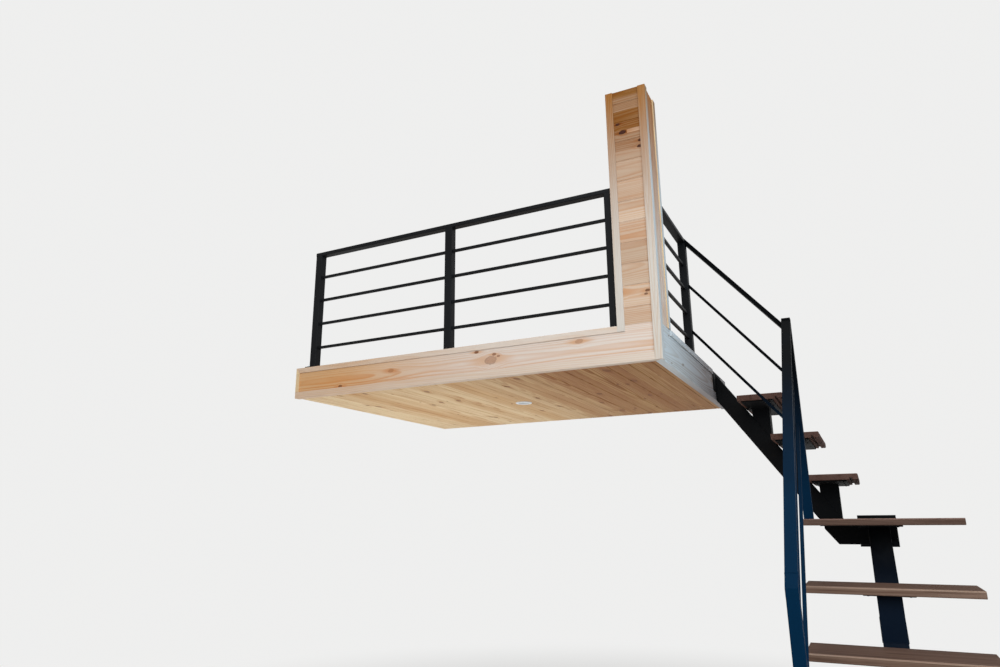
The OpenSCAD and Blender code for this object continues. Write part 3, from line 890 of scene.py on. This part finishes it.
def refine(
    node: str, finishes: Sequence[Material], width: float = 1.2 * MM, segments: int = 2
) -> bpy.types.Object:
    """Replace a solid by a copy with eased edges and its finish.

    Args:
        node: name of the solid.
        finishes: materials of the piece.
        width: width of the eased edges.
        segments: steps over each edge.

    Returns:
        The piece that stands for the solid.
    """
    joined, level, sharp = 0.01 * MM, math.radians(1.0), math.radians(25.0)
    mesh = bmesh.new()
    mesh.from_mesh(bpy.data.objects[node].data)
    bmesh.ops.remove_doubles(mesh, verts=mesh.verts, dist=joined)
    bmesh.ops.dissolve_limit(mesh, angle_limit=level, verts=mesh.verts, edges=mesh.edges)
    closed = (edge for edge in mesh.edges if len(edge.link_faces) == 2)
    ease(mesh, [edge for edge in closed if edge.calc_face_angle(0.0) > sharp], width, segments)
    bmesh.ops.triangulate(mesh, faces=[face for face in mesh.faces if len(face.verts) > 4])
    piece = settle(mesh, node + "_eased", finishes)
    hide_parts(node)
    return piece


def refine_tread(node: str, finishes: Sequence[Material]) -> None:
    """Replace a tread, with its second finish on the eased upper edges, wear and a painted
    highlight, and its third on top.

    Args:
        node: name of the tread's solid.
        finishes: two or three materials.
    """
    tilted, level = 0.1, 0.985
    piece = refine(node, finishes, width=1.8 * MM, segments=3)
    for face in piece.data.polygons:
        if tilted < face.normal.z < level:
            face.material_index = 1
        # Top faces take the third finish; on the lower treads it is painted shade.
        elif face.normal.z >= level and len(finishes) > 2:
            face.material_index = 2


def aimed(place: Vector, way: Vector) -> Matrix:
    """Return the transform that takes Z to a direction at a place."""
    return Matrix.Translation(place) @ way.to_track_quat("Z", "Y").to_matrix().to_4x4()


def stub(mesh: Mesh, radii: Pair, depth: float, place: Matrix, sides: int) -> dict[str, list]:
    """Add a short closed cylinder or cone.

    Args:
        mesh: mesh that receives it.
        radii: its radius at the bottom and at the top.
        depth: its length.
        place: transform of its middle.
        sides: corners of its outline.

    Returns:
        Its vertices, as the operator gives them.
    """
    return bmesh.ops.create_cone(
        mesh, cap_ends=True, segments=sides, radius1=radii[0], radius2=radii[1],
        depth=depth, matrix=place,
    )


def rims(made: dict[str, list], turn: float) -> list[bmesh.types.BMEdge]:
    """Return the edges of a new shape that turn by more than an angle in radians."""
    edges = dict.fromkeys(edge for vert in made["verts"] for edge in vert.link_edges)
    return [edge for edge in edges if edge.calc_face_angle(0.0) > turn]


def weld_run(mesh: Mesh, corners: Sequence[Vector], size: float = 2.2 * MM) -> None:
    """Lay a rippled weld bead round a closed run of straight lines.

    Args:
        mesh: mesh that receives the bead.
        corners: corner points of the run.
        size: radius of the bead.
    """
    pitch, waist, swell, sides = 1.3, 0.75, 1.28, 6
    for start, end in zip(corners, [*corners[1:], corners[0]]):
        bead = bmesh.new()
        way = end - start
        steps = max(3, int(way.length / (pitch * size)))
        bmesh.ops.create_circle(bead, cap_ends=True, radius=size * waist, segments=sides)
        edges = list(bead.edges)
        for step in range(1, steps + 1):
            grown = bmesh.ops.extrude_edge_only(bead, edges=edges)["geom"]
            points = [g for g in grown if isinstance(g, bmesh.types.BMVert)]
            edges = [g for g in grown if isinstance(g, bmesh.types.BMEdge) and g.is_boundary]
            grow = swell if step % 2 else 1 / swell
            bmesh.ops.scale(bead, verts=points, vec=(grow, grow, 1.0))
            bmesh.ops.translate(bead, verts=points, vec=(0, 0, way.length / steps))
        bmesh.ops.contextual_create(bead, geom=edges)
        bmesh.ops.transform(bead, verts=bead.verts, matrix=aimed(start, way))
        bmesh.ops.recalc_face_normals(bead, faces=bead.faces)
        absorb(mesh, bead)


def absorb(mesh: Mesh, small: Mesh) -> None:
    """Move a small mesh into a larger one.

    Args:
        mesh: mesh that receives it.
        small: mesh that is used up.
    """
    carrier = bpy.data.meshes.new("carrier")
    small.to_mesh(carrier)
    small.free()
    mesh.from_mesh(carrier)
    bpy.data.meshes.remove(carrier)


def frame_at(centre: Vector, first: Vector, second: Vector) -> list[Vector]:
    """Return the corners of a rectangle from its centre and two half sides."""
    return [centre + first * i + second * j for i, j in ((-1, -1), (1, -1), (1, 1), (-1, 1))]


def bolt_head(mesh: Mesh, seat: Vector, outward: Vector, across: float) -> None:
    """Set a hexagon bolt head on a washer.

    Args:
        mesh: mesh that receives the bolt.
        seat: middle of the seat.
        outward: direction that the head points.
        across: width of the head.
    """
    washer, head = (0.0, 0.16, 1.15, 20), (0.16, 0.62, 0.58, 6)
    chamfer, corner = 0.05 * across, 1.2
    for low, high, radius, sides in (washer, head):
        place = aimed(seat, outward) @ Matrix.Translation(UP * (low + high) / 2 * across)
        radii = (across * radius, across * radius)
        made = stub(mesh, radii, (high - low) * across, place, sides)
        ease(mesh, rims(made, corner), chamfer, segments=1)


def screw_head(mesh: Mesh, seat: Vector, outward: Vector, radius: float = 4.6 * MM) -> None:
    """Set a low round screw head with a sunk drive.

    Args:
        mesh: mesh that receives the head.
        seat: middle of the seat.
        outward: direction that the head points.
        radius: radius of the head.
    """
    crown_r, rise, rim, lip, sunk = (radius * share for share in (0.72, 0.45, 0.36, 0.06, 0.3))
    place = aimed(seat, outward) @ Matrix.Translation(UP * rise / 2)
    made = stub(mesh, (radius, crown_r), rise, place, sides=14)
    faces = {face for vert in made["verts"] for face in vert.link_faces}
    crown = max(faces, key=lambda face: (face.calc_center_median() - seat).dot(outward))
    bmesh.ops.inset_region(mesh, faces=[crown], thickness=rim, depth=0.0)
    bmesh.ops.inset_region(mesh, faces=[crown], thickness=lip, depth=-sunk)


@dataclass
class SubAssembly:
    """Part of the loft that dresses its solids and adds its pieces."""

    palette: Palette

    def build(self) -> None:
        """Make the part, which each kind does in its own way."""
        raise NotImplementedError


@dataclass
class LoftFloor(SubAssembly):
    """Boxed floor of the loft: framing, deck, soffit, fascias and their trims."""

    ledger_holes: Sequence[float] = (-740 * MM, -246.667 * MM, 246.667 * MM, 740 * MM)
    left_holes: Sequence[float] = (-1152 * MM, -829.667 * MM, -507.333 * MM, -185 * MM)
    joist_w: float = 45 * MM
    left: float = -880 * MM
    bolt_w: float = 17 * MM
    shank_r: float = 5 * MM
    shank_short: float = 1 * MM
    front_strip: float = 31 * MM
    left_strip: float = 18.5 * MM
    top_lip: float = 24 * MM

    def build(self) -> None:
        """Dress the framing and replace the boards that show by eased ones."""
        p = self.palette
        dress(p.frame_x, "back_ledger", "front_rim")
        dress(p.frame_y, "left_ledger", "side_rim", "floor_joists")
        refine("front_fascia", [p.fascia_front])
        refine("side_fascia", [p.fascia_side])
        refine("loft_deck", [p.deck], width=0.6 * MM)
        refine("loft_soffit", [p.soffit], width=0.5 * MM)
        self._trim("fascia_top_trim", self.left + self.left_strip)
        self._trim("fascia_bottom_trim", self.left)
        self._bolts()

    def _trim(self, node: str, strip: float) -> None:
        """Replace a trim, with the grain of each strip along its length and painted warm light on
        its upright strip.

        Args:
            node: name of the trim's solid.
            strip: where its upright strip at the left ends.
        """
        p = self.palette
        strips = [p.trim_x, p.trim_y, p.trim_amber]
        piece = refine(node, strips, width=0.8 * MM)
        low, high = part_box(node)
        for face in piece.data.polygons:
            if face.center.y > low.y + self.front_strip:
                face.material_index = 1
            # The upright strip at the left end takes painted warm light.
            elif face.center.x < strip and face.center.z < high.z - self.top_lip:
                face.material_index = 2

    def _bolts(self) -> None:
        """Set the ledger bolts, with their heads inside the floor."""
        mesh = bmesh.new()
        for x in self.ledger_holes:
            self._bolt(mesh, Vector((x, 0, 0)), FORWARD)
        for y in self.left_holes:
            self._bolt(mesh, Vector((self.left, y, 0)), RIGHT)
        settle(mesh, "ledger_bolts", [self.palette.zinc])

    def _bolt(self, mesh: Mesh, end: Vector, outward: Vector) -> None:
        """Set one bolt through a ledger, from its bearing face to its inner face.

        Args:
            mesh: mesh that receives it.
            end: where it ends in the bearing face.
            outward: direction that its head points.
        """
        bolt_head(mesh, end + outward * self.joist_w, outward, self.bolt_w)
        middle = aimed(end + outward * (self.joist_w / 2), outward)
        radii, depth = (self.shank_r, self.shank_r), self.joist_w - self.shank_short
        stub(mesh, radii, depth, middle, sides=16)


@dataclass
class CladColumn(SubAssembly):
    """Boxed pine column with short level boards in front and corner trims."""

    rear_y: float = -1300 * MM
    skin: float = 1 * MM
    facing: float = 0.6

    def build(self) -> None:
        """Replace the cladding and the trims, and dress the post inside."""
        p = self.palette
        dress(p.frame_z, "column_core")
        boards = [p.column_front, p.column_side]
        piece = refine("column_cladding", boards, width=0.6 * MM)
        for face in piece.data.polygons:
            face.material_index = 1 if abs(face.normal.x) > self.facing else 0
        # The trims' outer side faces take painted cool daylight; the rear trim's front edge takes
        # painted warm light.
        strips = [p.trim_z, p.trim_limed, p.trim_amber]
        trims = refine("column_trims", strips, width=0.8 * MM)
        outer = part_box("column_trims")[1].x - self.skin
        for face in trims.data.polygons:
            if face.normal.x > self.facing and face.center.x > outer:
                face.material_index = 1
            elif face.normal.y < -self.facing and face.center.y > self.rear_y:
                face.material_index = 2


@dataclass
class Guard(SubAssembly):
    """Steel guard of the loft, with its posts, rails, bars and welds."""

    post: float = 36 * MM
    bar: float = 12 * MM
    bead: float = 1.7 * MM
    bead_in: float = 1 * MM
    posts_x: Sequence[float] = (-793 * MM, -44.5 * MM, 704 * MM)
    post_y: float = -1333 * MM
    side_x: float = 841 * MM
    head_y: float = -655 * MM
    bars_z: Sequence[float] = (170.5 * MM, 289.5 * MM, 408.5 * MM, 527.5 * MM)
    rail_z: float = 637.5 * MM
    tab_x: float = -824 * MM
    tab_z: float = 79.5 * MM
    tab_bolt: float = 13 * MM

    def build(self) -> None:
        """Dress the solids, then lay the welds and the bolt of the foot tab."""
        solids = ("front_posts", "front_top_rail", "front_bars", "side_top_rail", "side_bars")
        dress(self.palette.guard, *solids, "stairhead_post")
        self._welds()
        mesh = bmesh.new()
        bolt_head(mesh, Vector((self.tab_x, self.post_y, self.tab_z)), UP, self.tab_bolt)
        settle(mesh, "foot_tab_bolt", [self.palette.zinc])

    def _welds(self) -> None:
        """Lay a bead round each bar end and under the rail at each post."""
        mesh = bmesh.new()
        half, thin = self.post / 2, self.bar / 2
        deep, high = INWARD * thin, UP * thin
        for z in self.bars_z:
            for i, x in enumerate(self.posts_x):
                for side in (-1, 1):
                    if 0 <= i + side < len(self.posts_x):
                        end = Vector((x + side * half, self.post_y, z))
                        weld_run(mesh, frame_at(end, deep, high), self.bead)
            end = Vector((self.side_x, self.head_y - half, z))
            weld_run(mesh, frame_at(end, RIGHT * thin, high), self.bead)
        tops = [(x, self.post_y) for x in self.posts_x] + [(self.side_x, self.head_y)]
        reach = half - self.bead_in
        for x, y in tops:
            top = Vector((x, y, self.rail_z))
            weld_run(mesh, frame_at(top, RIGHT * reach, INWARD * reach), self.bead)
        settle(mesh, "guard_welds", [self.palette.guard], smooth=True)


@dataclass
class StairRails(SubAssembly):
    """Newels, handrails and sloping bars of both flights."""

    post: float = 36 * MM
    bar: float = 12 * MM
    rail: float = 18 * MM
    newel_x: float = 1263 * MM
    newel_y: float = -655 * MM
    foot_y: float = -1597 * MM
    newel_top: float = 206.5 * MM
    foot_top: float = -829 * MM
    head_x: float = 859 * MM
    head_z: float = 655.5 * MM
    gap: float = 223 * MM
    up_drop: float = 17 * MM
    low_drop: float = 10 * MM
    bead: float = 1.6 * MM
    bead_in: float = 0.6 * MM

    def build(self) -> None:
        """Dress the solids and lay the welds at both ends of each bar."""
        finish = self.palette.newel
        dress(finish, "landing_newel", "upper_handrail", "upper_mid_rails")
        dress(finish, "foot_newel", "lower_handrail", "lower_mid_rails")
        mesh = bmesh.new()
        half = self.post / 2
        near = Vector((self.head_x, self.newel_y, self.head_z))
        far = Vector((self.newel_x - half, self.newel_y, self.newel_top - self.up_drop))
        self._slope(mesh, near, far, INWARD)
        top, run = self.newel_top - self.low_drop, self.newel_y - self.foot_y
        slope = (top - self.foot_top) / run
        high = Vector((self.newel_x, self.newel_y - half, top))
        low = Vector((self.newel_x, self.foot_y + half, top - (run - self.post) * slope))
        self._slope(mesh, high, low, RIGHT)
        settle(mesh, "stair_rail_welds", [finish], smooth=True)

    def _slope(self, mesh: Mesh, start: Vector, end: Vector, side: Vector) -> None:
        """Lay the beads of one handrail and its two bars.

        Args:
            mesh: mesh that receives the beads.
            start: upper edge of the handrail at one post.
            end: upper edge of the handrail at the other post.
            side: direction over the rail's width.
        """
        way = end - start
        stretch = way.length / Vector((way.x, way.y, 0)).length
        bars = [(drop, self.bar, self.bar) for drop in (self.gap, 2 * self.gap)]
        for drop, thick, wide in [(0.0, self.rail, self.post), *bars]:
            tall = thick * stretch / 2
            for point in (start, end):
                centre = point + DOWN * (drop + tall)
                edge = side * (wide / 2 - self.bead_in)
                weld_run(mesh, frame_at(centre, edge, UP * tall), self.bead)


@dataclass
class StairPart(SubAssembly):
    """Part of the stair, with the sizes that its flights and its landing share."""

    landing: float = -640.5 * MM
    under: float = 31 * MM
    tread_t: float = 25 * MM
    plate_w: float = 162 * MM
    half: float = 39 * MM
    spine_x: float = 1510.5 * MM
    spine_y: float = -271.5 * MM
    bolt_w: float = 17 * MM
    bolt_out: float = 61 * MM
    flange: float = 10 * MM
    screw_in: float = 16 * MM

    def _steel(self, node: str, width: float = 1.2 * MM, segments: int = 2) -> None:
        """Replace a steel solid by an eased copy."""
        refine(node, [self.palette.stair], width, segments)

    def _settle(self, mesh: Mesh, name: str, smooth: bool = False) -> None:
        """Turn a worked mesh into a piece of the stair's steel."""
        settle(mesh, name, [self.palette.stair], smooth)


@dataclass
class Landing(StairPart):
    """Landing board on its steel boxes, with the flat plate at their end."""

    bolts_z: Sequence[float] = (-748.5 * MM, -688.5 * MM)
    screws_y: Sequence[float] = (-720 * MM, -560 * MM, -400 * MM, -140 * MM, -40 * MM)

    def build(self) -> None:
        """Replace steel and board by eased ones, then add welds, bolts and screws."""
        stains = [self.palette.landing, self.palette.worn_y]
        refine_tread("landing_board", stains)
        self._steel("landing_bearer", width=2.0 * MM)
        self._steel("stair_wall_plate", width=1.0 * MM)
        half, under = self.half, self.landing - self.under
        welds, bolts, screws = bmesh.new(), bmesh.new(), bmesh.new()
        middle = Vector((self.spine_x, -self.flange, under - half))
        weld_run(welds, frame_at(middle, RIGHT * half, UP * half))
        middle = Vector((self.spine_x - half, self.spine_y, under - half))
        weld_run(welds, frame_at(middle, INWARD * half, UP * half))
        for side in (-1, 1):
            x = self.spine_x + side * self.bolt_out
            for z in self.bolts_z:
                bolt_head(bolts, Vector((x, -self.flange, z)), FORWARD, self.bolt_w)
            x = self.spine_x + side * (self.plate_w / 2 - self.screw_in)
            for y in self.screws_y:
                screw_head(screws, Vector((x, y, under)), DOWN)
        self._settle(welds, "landing_welds", smooth=True)
        self._settle(bolts, "wall_plate_bolts")
        self._settle(screws, "landing_plate_screws")


class Flight(StairPart):
    """Steel box, saddles and treads of a flight, whose own class gives its sizes."""

    count: int
    first: Point
    step: Point
    ahead: Point
    depth: float
    leg_in: float
    plate_in: float
    plate_out: float
    screws_out: Sequence[float]

    def _nose(self, k: int) -> Vector:
        """Return the nosing of tread k, over the middle of the steel box."""
        return Vector(self.first) + Vector(self.step) * (k - 1)

    def _on_box(self, point: Vector) -> Vector:
        """Return a point moved up or down onto the steel box.

        Args:
            point: a point over or under the box.

        Returns:
            The point of the box's top that is in line with it.
        """
        step, nose = Vector(self.step), self._nose(1)
        behind = (nose - point).dot(Vector(self.ahead)) - self.depth
        rise = behind * abs(step.z) / step.xy.length - self.tread_t
        return Vector((point.x, point.y, nose.z + rise))

    def _treads(self, level: str, plate: str, stains: Sequence[Material]) -> None:
        """Replace the steel and the treads by eased ones.

        Args:
            level: word that starts the names of the flight's solids.
            plate: name of the plate at its end.
            stains: finishes of its treads.
        """
        self._steel(f"{level}_spine", width=3.5 * MM, segments=3)
        self._steel(f"{level}_saddles")
        self._steel(plate, width=1.0 * MM)
        for k in range(1, self.count + 1):
            refine_tread(f"{level}_tread_{k}", stains)

    def _saddles(self) -> tuple[Mesh, Mesh]:
        """Weld each tread's leg to the box and to its plate, and screw the plates on.

        Returns:
            Mesh of the welds and mesh of the screws.
        """
        welds, screws = bmesh.new(), bmesh.new()
        ahead, side = Vector(self.ahead), UP.cross(Vector(self.ahead))
        for k in range(1, self.count + 1):
            nose = self._nose(k) + DOWN * self.under
            middle = nose - ahead * (self.leg_in + self.half)
            leg = frame_at(middle, RIGHT * self.half, INWARD * self.half)
            weld_run(welds, [self._on_box(corner) for corner in leg])
            weld_run(welds, leg)
            front = self.plate_in + self.screw_in
            back = self.depth - self.plate_out - self.screw_in
            for inset in (front, back):
                for out in self.screws_out:
                    screw_head(screws, nose - ahead * inset + side * out, DOWN)
        return welds, screws


@dataclass
class UpperFlight(Flight):
    """Flight between the landing and the deck."""

    count: int = 3
    first: Point = (1461 * MM, -271.5 * MM, -458.5 * MM)
    step: Point = (-128 * MM, 0.0, 182 * MM)
    ahead: Point = (1.0, 0.0, 0.0)
    depth: float = 195 * MM
    leg_in: float = 85 * MM
    plate_in: float = 45 * MM
    plate_out: float = 15 * MM
    screw_in: float = 14 * MM
    screws_out: Sequence[float] = (-226.5 * MM, -96.5 * MM, 96.5 * MM, 226.5 * MM)
    head_x: float = 886 * MM

    def build(self) -> None:
        """Make the flight, and weld its box to the plate at the deck."""
        p, step = self.palette, Vector(self.step)
        self._treads("upper", "spine_head_plate", [p.tread_y, p.worn_y])
        welds, screws = self._saddles()
        tall = self.half * step.length / step.xy.length
        middle = self._on_box(Vector((self.head_x, self.spine_y, 0))) + DOWN * tall
        weld_run(welds, frame_at(middle, INWARD * self.half, UP * tall))
        self._settle(welds, "upper_stair_welds", smooth=True)
        self._settle(screws, "upper_plate_screws")


@dataclass
class LowerFlight(Flight):
    """Flight between the foot plate and the landing."""

    count: int = 6
    first: Point = (1510.5 * MM, -1025 * MM, -868.5 * MM)
    step: Point = (0.0, -205 * MM, -1135 / 6 * MM)
    ahead: Point = (0.0, -1.0, 0.0)
    depth: float = 230 * MM
    leg_in: float = 62 * MM
    plate_in: float = 45 * MM
    plate_out: float = 25 * MM
    screws_out: Sequence[float] = (-65 * MM, 65 * MM)
    foot: Point = (1510.5 * MM, -1929.6 * MM, -1993.5 * MM)
    foot_out: float = 80 * MM

    def build(self) -> None:
        """Make the flight, and set the bolts of its foot plate."""
        p = self.palette
        # The tops take the darker landing stain: painted shade on the treads' upper faces.
        self._treads("lower", "stair_foot_plate", [p.tread_x, p.worn_highlight_x, p.landing])
        welds, screws = self._saddles()
        bolts = bmesh.new()
        foot = frame_at(Vector(self.foot), RIGHT * self.bolt_out, INWARD * self.foot_out)
        for seat in foot:
            bolt_head(bolts, seat, UP, self.bolt_w)
        self._settle(welds, "lower_stair_welds", smooth=True)
        self._settle(screws, "lower_plate_screws")
        self._settle(bolts, "foot_plate_bolts")


@dataclass
class SoffitLamp(SubAssembly):
    """Recessed lamp below the loft: painted ring and frosted lens."""

    x: float = 6.5 * MM
    y: float = -687 * MM
    face: float = -66.5 * MM
    inset: float = 5.5 * MM
    radius: float = 25 * MM
    taper: float = 0.9
    thick: float = 4 * MM
    edge: float = 1.2 * MM

    def build(self) -> None:
        """Dress the lamp's solid and set the lens into it."""
        dress(self.palette.ring, "soffit_lamp")
        mesh = bmesh.new()
        place = Matrix.Translation((self.x, self.y, self.face + self.inset))
        radii = (self.radius * self.taper, self.radius)
        made = stub(mesh, radii, self.thick, place, sides=48)
        ease(mesh, rims(made, turn=0.8), self.edge, segments=3)
        settle(mesh, "lamp_lens", [self.palette.lens])


@dataclass(frozen=True)
class SoftLamp:
    """Square area lamp: its place, its target, the side of its face, watts and colour."""

    name: str
    place: Point
    target: Point
    size: float
    power: float
    colour: Point

    def hang(self) -> None:
        """Add the lamp to the scene."""
        data = bpy.data.lights.new(self.name, "AREA")
        data.size, data.energy, data.color = self.size, self.power, self.colour
        lamp = bpy.data.objects.new(self.name, data)
        lamp.location = self.place
        way = Vector(self.target) - Vector(self.place)
        lamp.rotation_euler = way.to_track_quat("-Z", "Y").to_euler()
        lamp.visible_camera = False
        bpy.context.scene.collection.objects.link(lamp)


@dataclass(frozen=True)
class View:
    """Camera at the photograph's place: angles in degrees, widths in millimetres and pixels."""

    place: Point = (1.486, -3.850, -0.6405)
    yaw: float = 27.0
    pitch: float = 15.0
    roll: float = -0.4
    sensor: float = 36.0
    focal: float = 700.0
    frame: float = 1000.0
    clip: float = 200.0

    def set_up(self) -> None:
        """Add the camera and look through it."""
        data = bpy.data.cameras.new("view")
        data.sensor_width = self.sensor
        data.lens = self.sensor * self.focal / self.frame
        data.clip_end = self.clip
        camera = bpy.data.objects.new("view", data)
        camera.location = self.place
        turns = ((self.yaw, "Z"), (90.0 + self.pitch, "X"), (self.roll, "Z"))
        yaw, pitch, roll = (Matrix.Rotation(math.radians(turn), 3, axis) for turn, axis in turns)
        camera.rotation_euler = (yaw @ pitch @ roll).to_euler()
        bpy.context.scene.collection.objects.link(camera)
        bpy.context.scene.camera = camera


@dataclass
class Studio:
    """Pale floor, soft lamps and the camera."""

    floor_at: Point = (0.4, -1.0, -2003.5 * MM)
    reach: float = 30.0
    paint: str = "E4E3E0"
    paint_rough: float = 0.85
    paint_shine: float = 0.1
    fade: Band = (2.3, 5.2, 0.42, 1.0)
    backdrop: Colour = (0.86, 0.86, 0.855, 1.0)
    soft: Colour = (0.97, 0.985, 1.0, 1.0)
    soft_strength: float = 0.32
    rays: Sequence[str] = ("Is Camera Ray", "Is Glossy Ray", "Is Transmission Ray")
    lamps: Sequence[SoftLamp] = (
        SoftLamp("key", (1.5, -5.0, 1.6), (0.2, -1.1, -0.1), 2.8, 103.0, (1.0, 0.985, 0.97)),
        SoftLamp("side", (3.4, -3.3, 0.3), (0.8, -1.0, 0.0), 1.8, 58.0, (0.61, 0.83, 1.0)),
        SoftLamp("low", (-0.75, -0.5, -1.9), (-0.7, -0.5, 0.0), 1.3, 18.0, (0.95, 0.98, 1.0)),
        SoftLamp("top", (0.0, -1.4, 8.0), (0.0, -1.3, 0.0), 5.0, 240.0, (1.0, 0.99, 0.97)),
    )

    def build(self) -> None:
        """Set up the studio round the loft."""
        self._floor()
        self._world()
        for lamp in self.lamps:
            lamp.hang()
        View().set_up()

    def _seen(self, tree: bpy.types.NodeTree) -> Socket:
        """Tell the rays that see the backdrop from those that carry light.

        Args:
            tree: node tree of the floor's material or of the world.

        Returns:
            1 for camera, glossy and transmission rays, and 0 for others.
        """
        path = tree.nodes.new("ShaderNodeLightPath").outputs
        seen = path[self.rays[0]]
        for ray in self.rays[1:]:
            either = tree.nodes.new("ShaderNodeMath")
            either.operation = "MAXIMUM"
            tree.links.new(seen, either.inputs[0])
            tree.links.new(path[ray], either.inputs[1])
            seen = either.outputs[0]
        return seen

    def _floor(self) -> None:
        """Lay a pale floor that fades into the backdrop."""
        mesh = bmesh.new()
        place = Matrix.Translation(self.floor_at)
        bmesh.ops.create_circle(mesh, cap_ends=True, radius=self.reach, segments=96, matrix=place)
        data = bpy.data.meshes.new("studio_floor")
        mesh.to_mesh(data)
        mesh.free()
        floor = bpy.data.objects.new("studio_floor", data)
        bpy.context.scene.collection.objects.link(floor)
        s = NodeSketch("studio_floor_paint")
        s.set("Base Color", tone(self.paint))
        s.set("Roughness", self.paint_rough)
        s.set("Specular IOR Level", self.paint_shine)
        far = s.add("VectorMath", {0: s.place}, operation="LENGTH").outputs["Value"]
        fade = s.times(s.span(far, *self.fade), self._seen(s.tree))
        glow = s.add("Emission", {"Color": self.backdrop, "Strength": 1.0}).outputs[0]
        both = s.add("MixShader", {0: fade, 1: s.shader.outputs[0], 2: glow})
        s.feed(s.output.inputs["Surface"], both.outputs[0])
        data.materials.append(s.material)

    def _world(self) -> None:
        """Light the scene evenly, with a pale backdrop for the rays that see it."""
        world = bpy.data.worlds.new("studio_world")
        bpy.context.scene.world = world
        world.use_nodes = True
        tree = world.node_tree
        tree.nodes.clear()
        mix = tree.nodes.new("ShaderNodeMixShader")
        tree.links.new(self._seen(tree), mix.inputs[0])
        skies = ((self.soft, self.soft_strength), (self.backdrop, 1.0))
        for socket, (colour, strength) in enumerate(skies, 1):
            sky = tree.nodes.new("ShaderNodeBackground")
            sky.inputs["Color"].default_value = colour
            sky.inputs["Strength"].default_value = strength
            tree.links.new(sky.outputs[0], mix.inputs[socket])
        output = tree.nodes.new("ShaderNodeOutputWorld")
        tree.links.new(mix.outputs[0], output.inputs["Surface"])


def main() -> None:
    """Build the studio and every sub-assembly in order, and report each piece."""
    logging.basicConfig(level=logging.INFO, format="%(message)s")
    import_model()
    bpy.context.scene.view_settings.view_transform = "Standard"
    Studio().build()
    palette = Palette()
    stair = (StairRails, UpperFlight, Landing, LowerFlight)
    for part in (LoftFloor, CladColumn, Guard, *stair, SoffitLamp):
        part(palette).build()
        LOG.info("built %s", part.__name__)


if __name__ == "__main__":
    main()
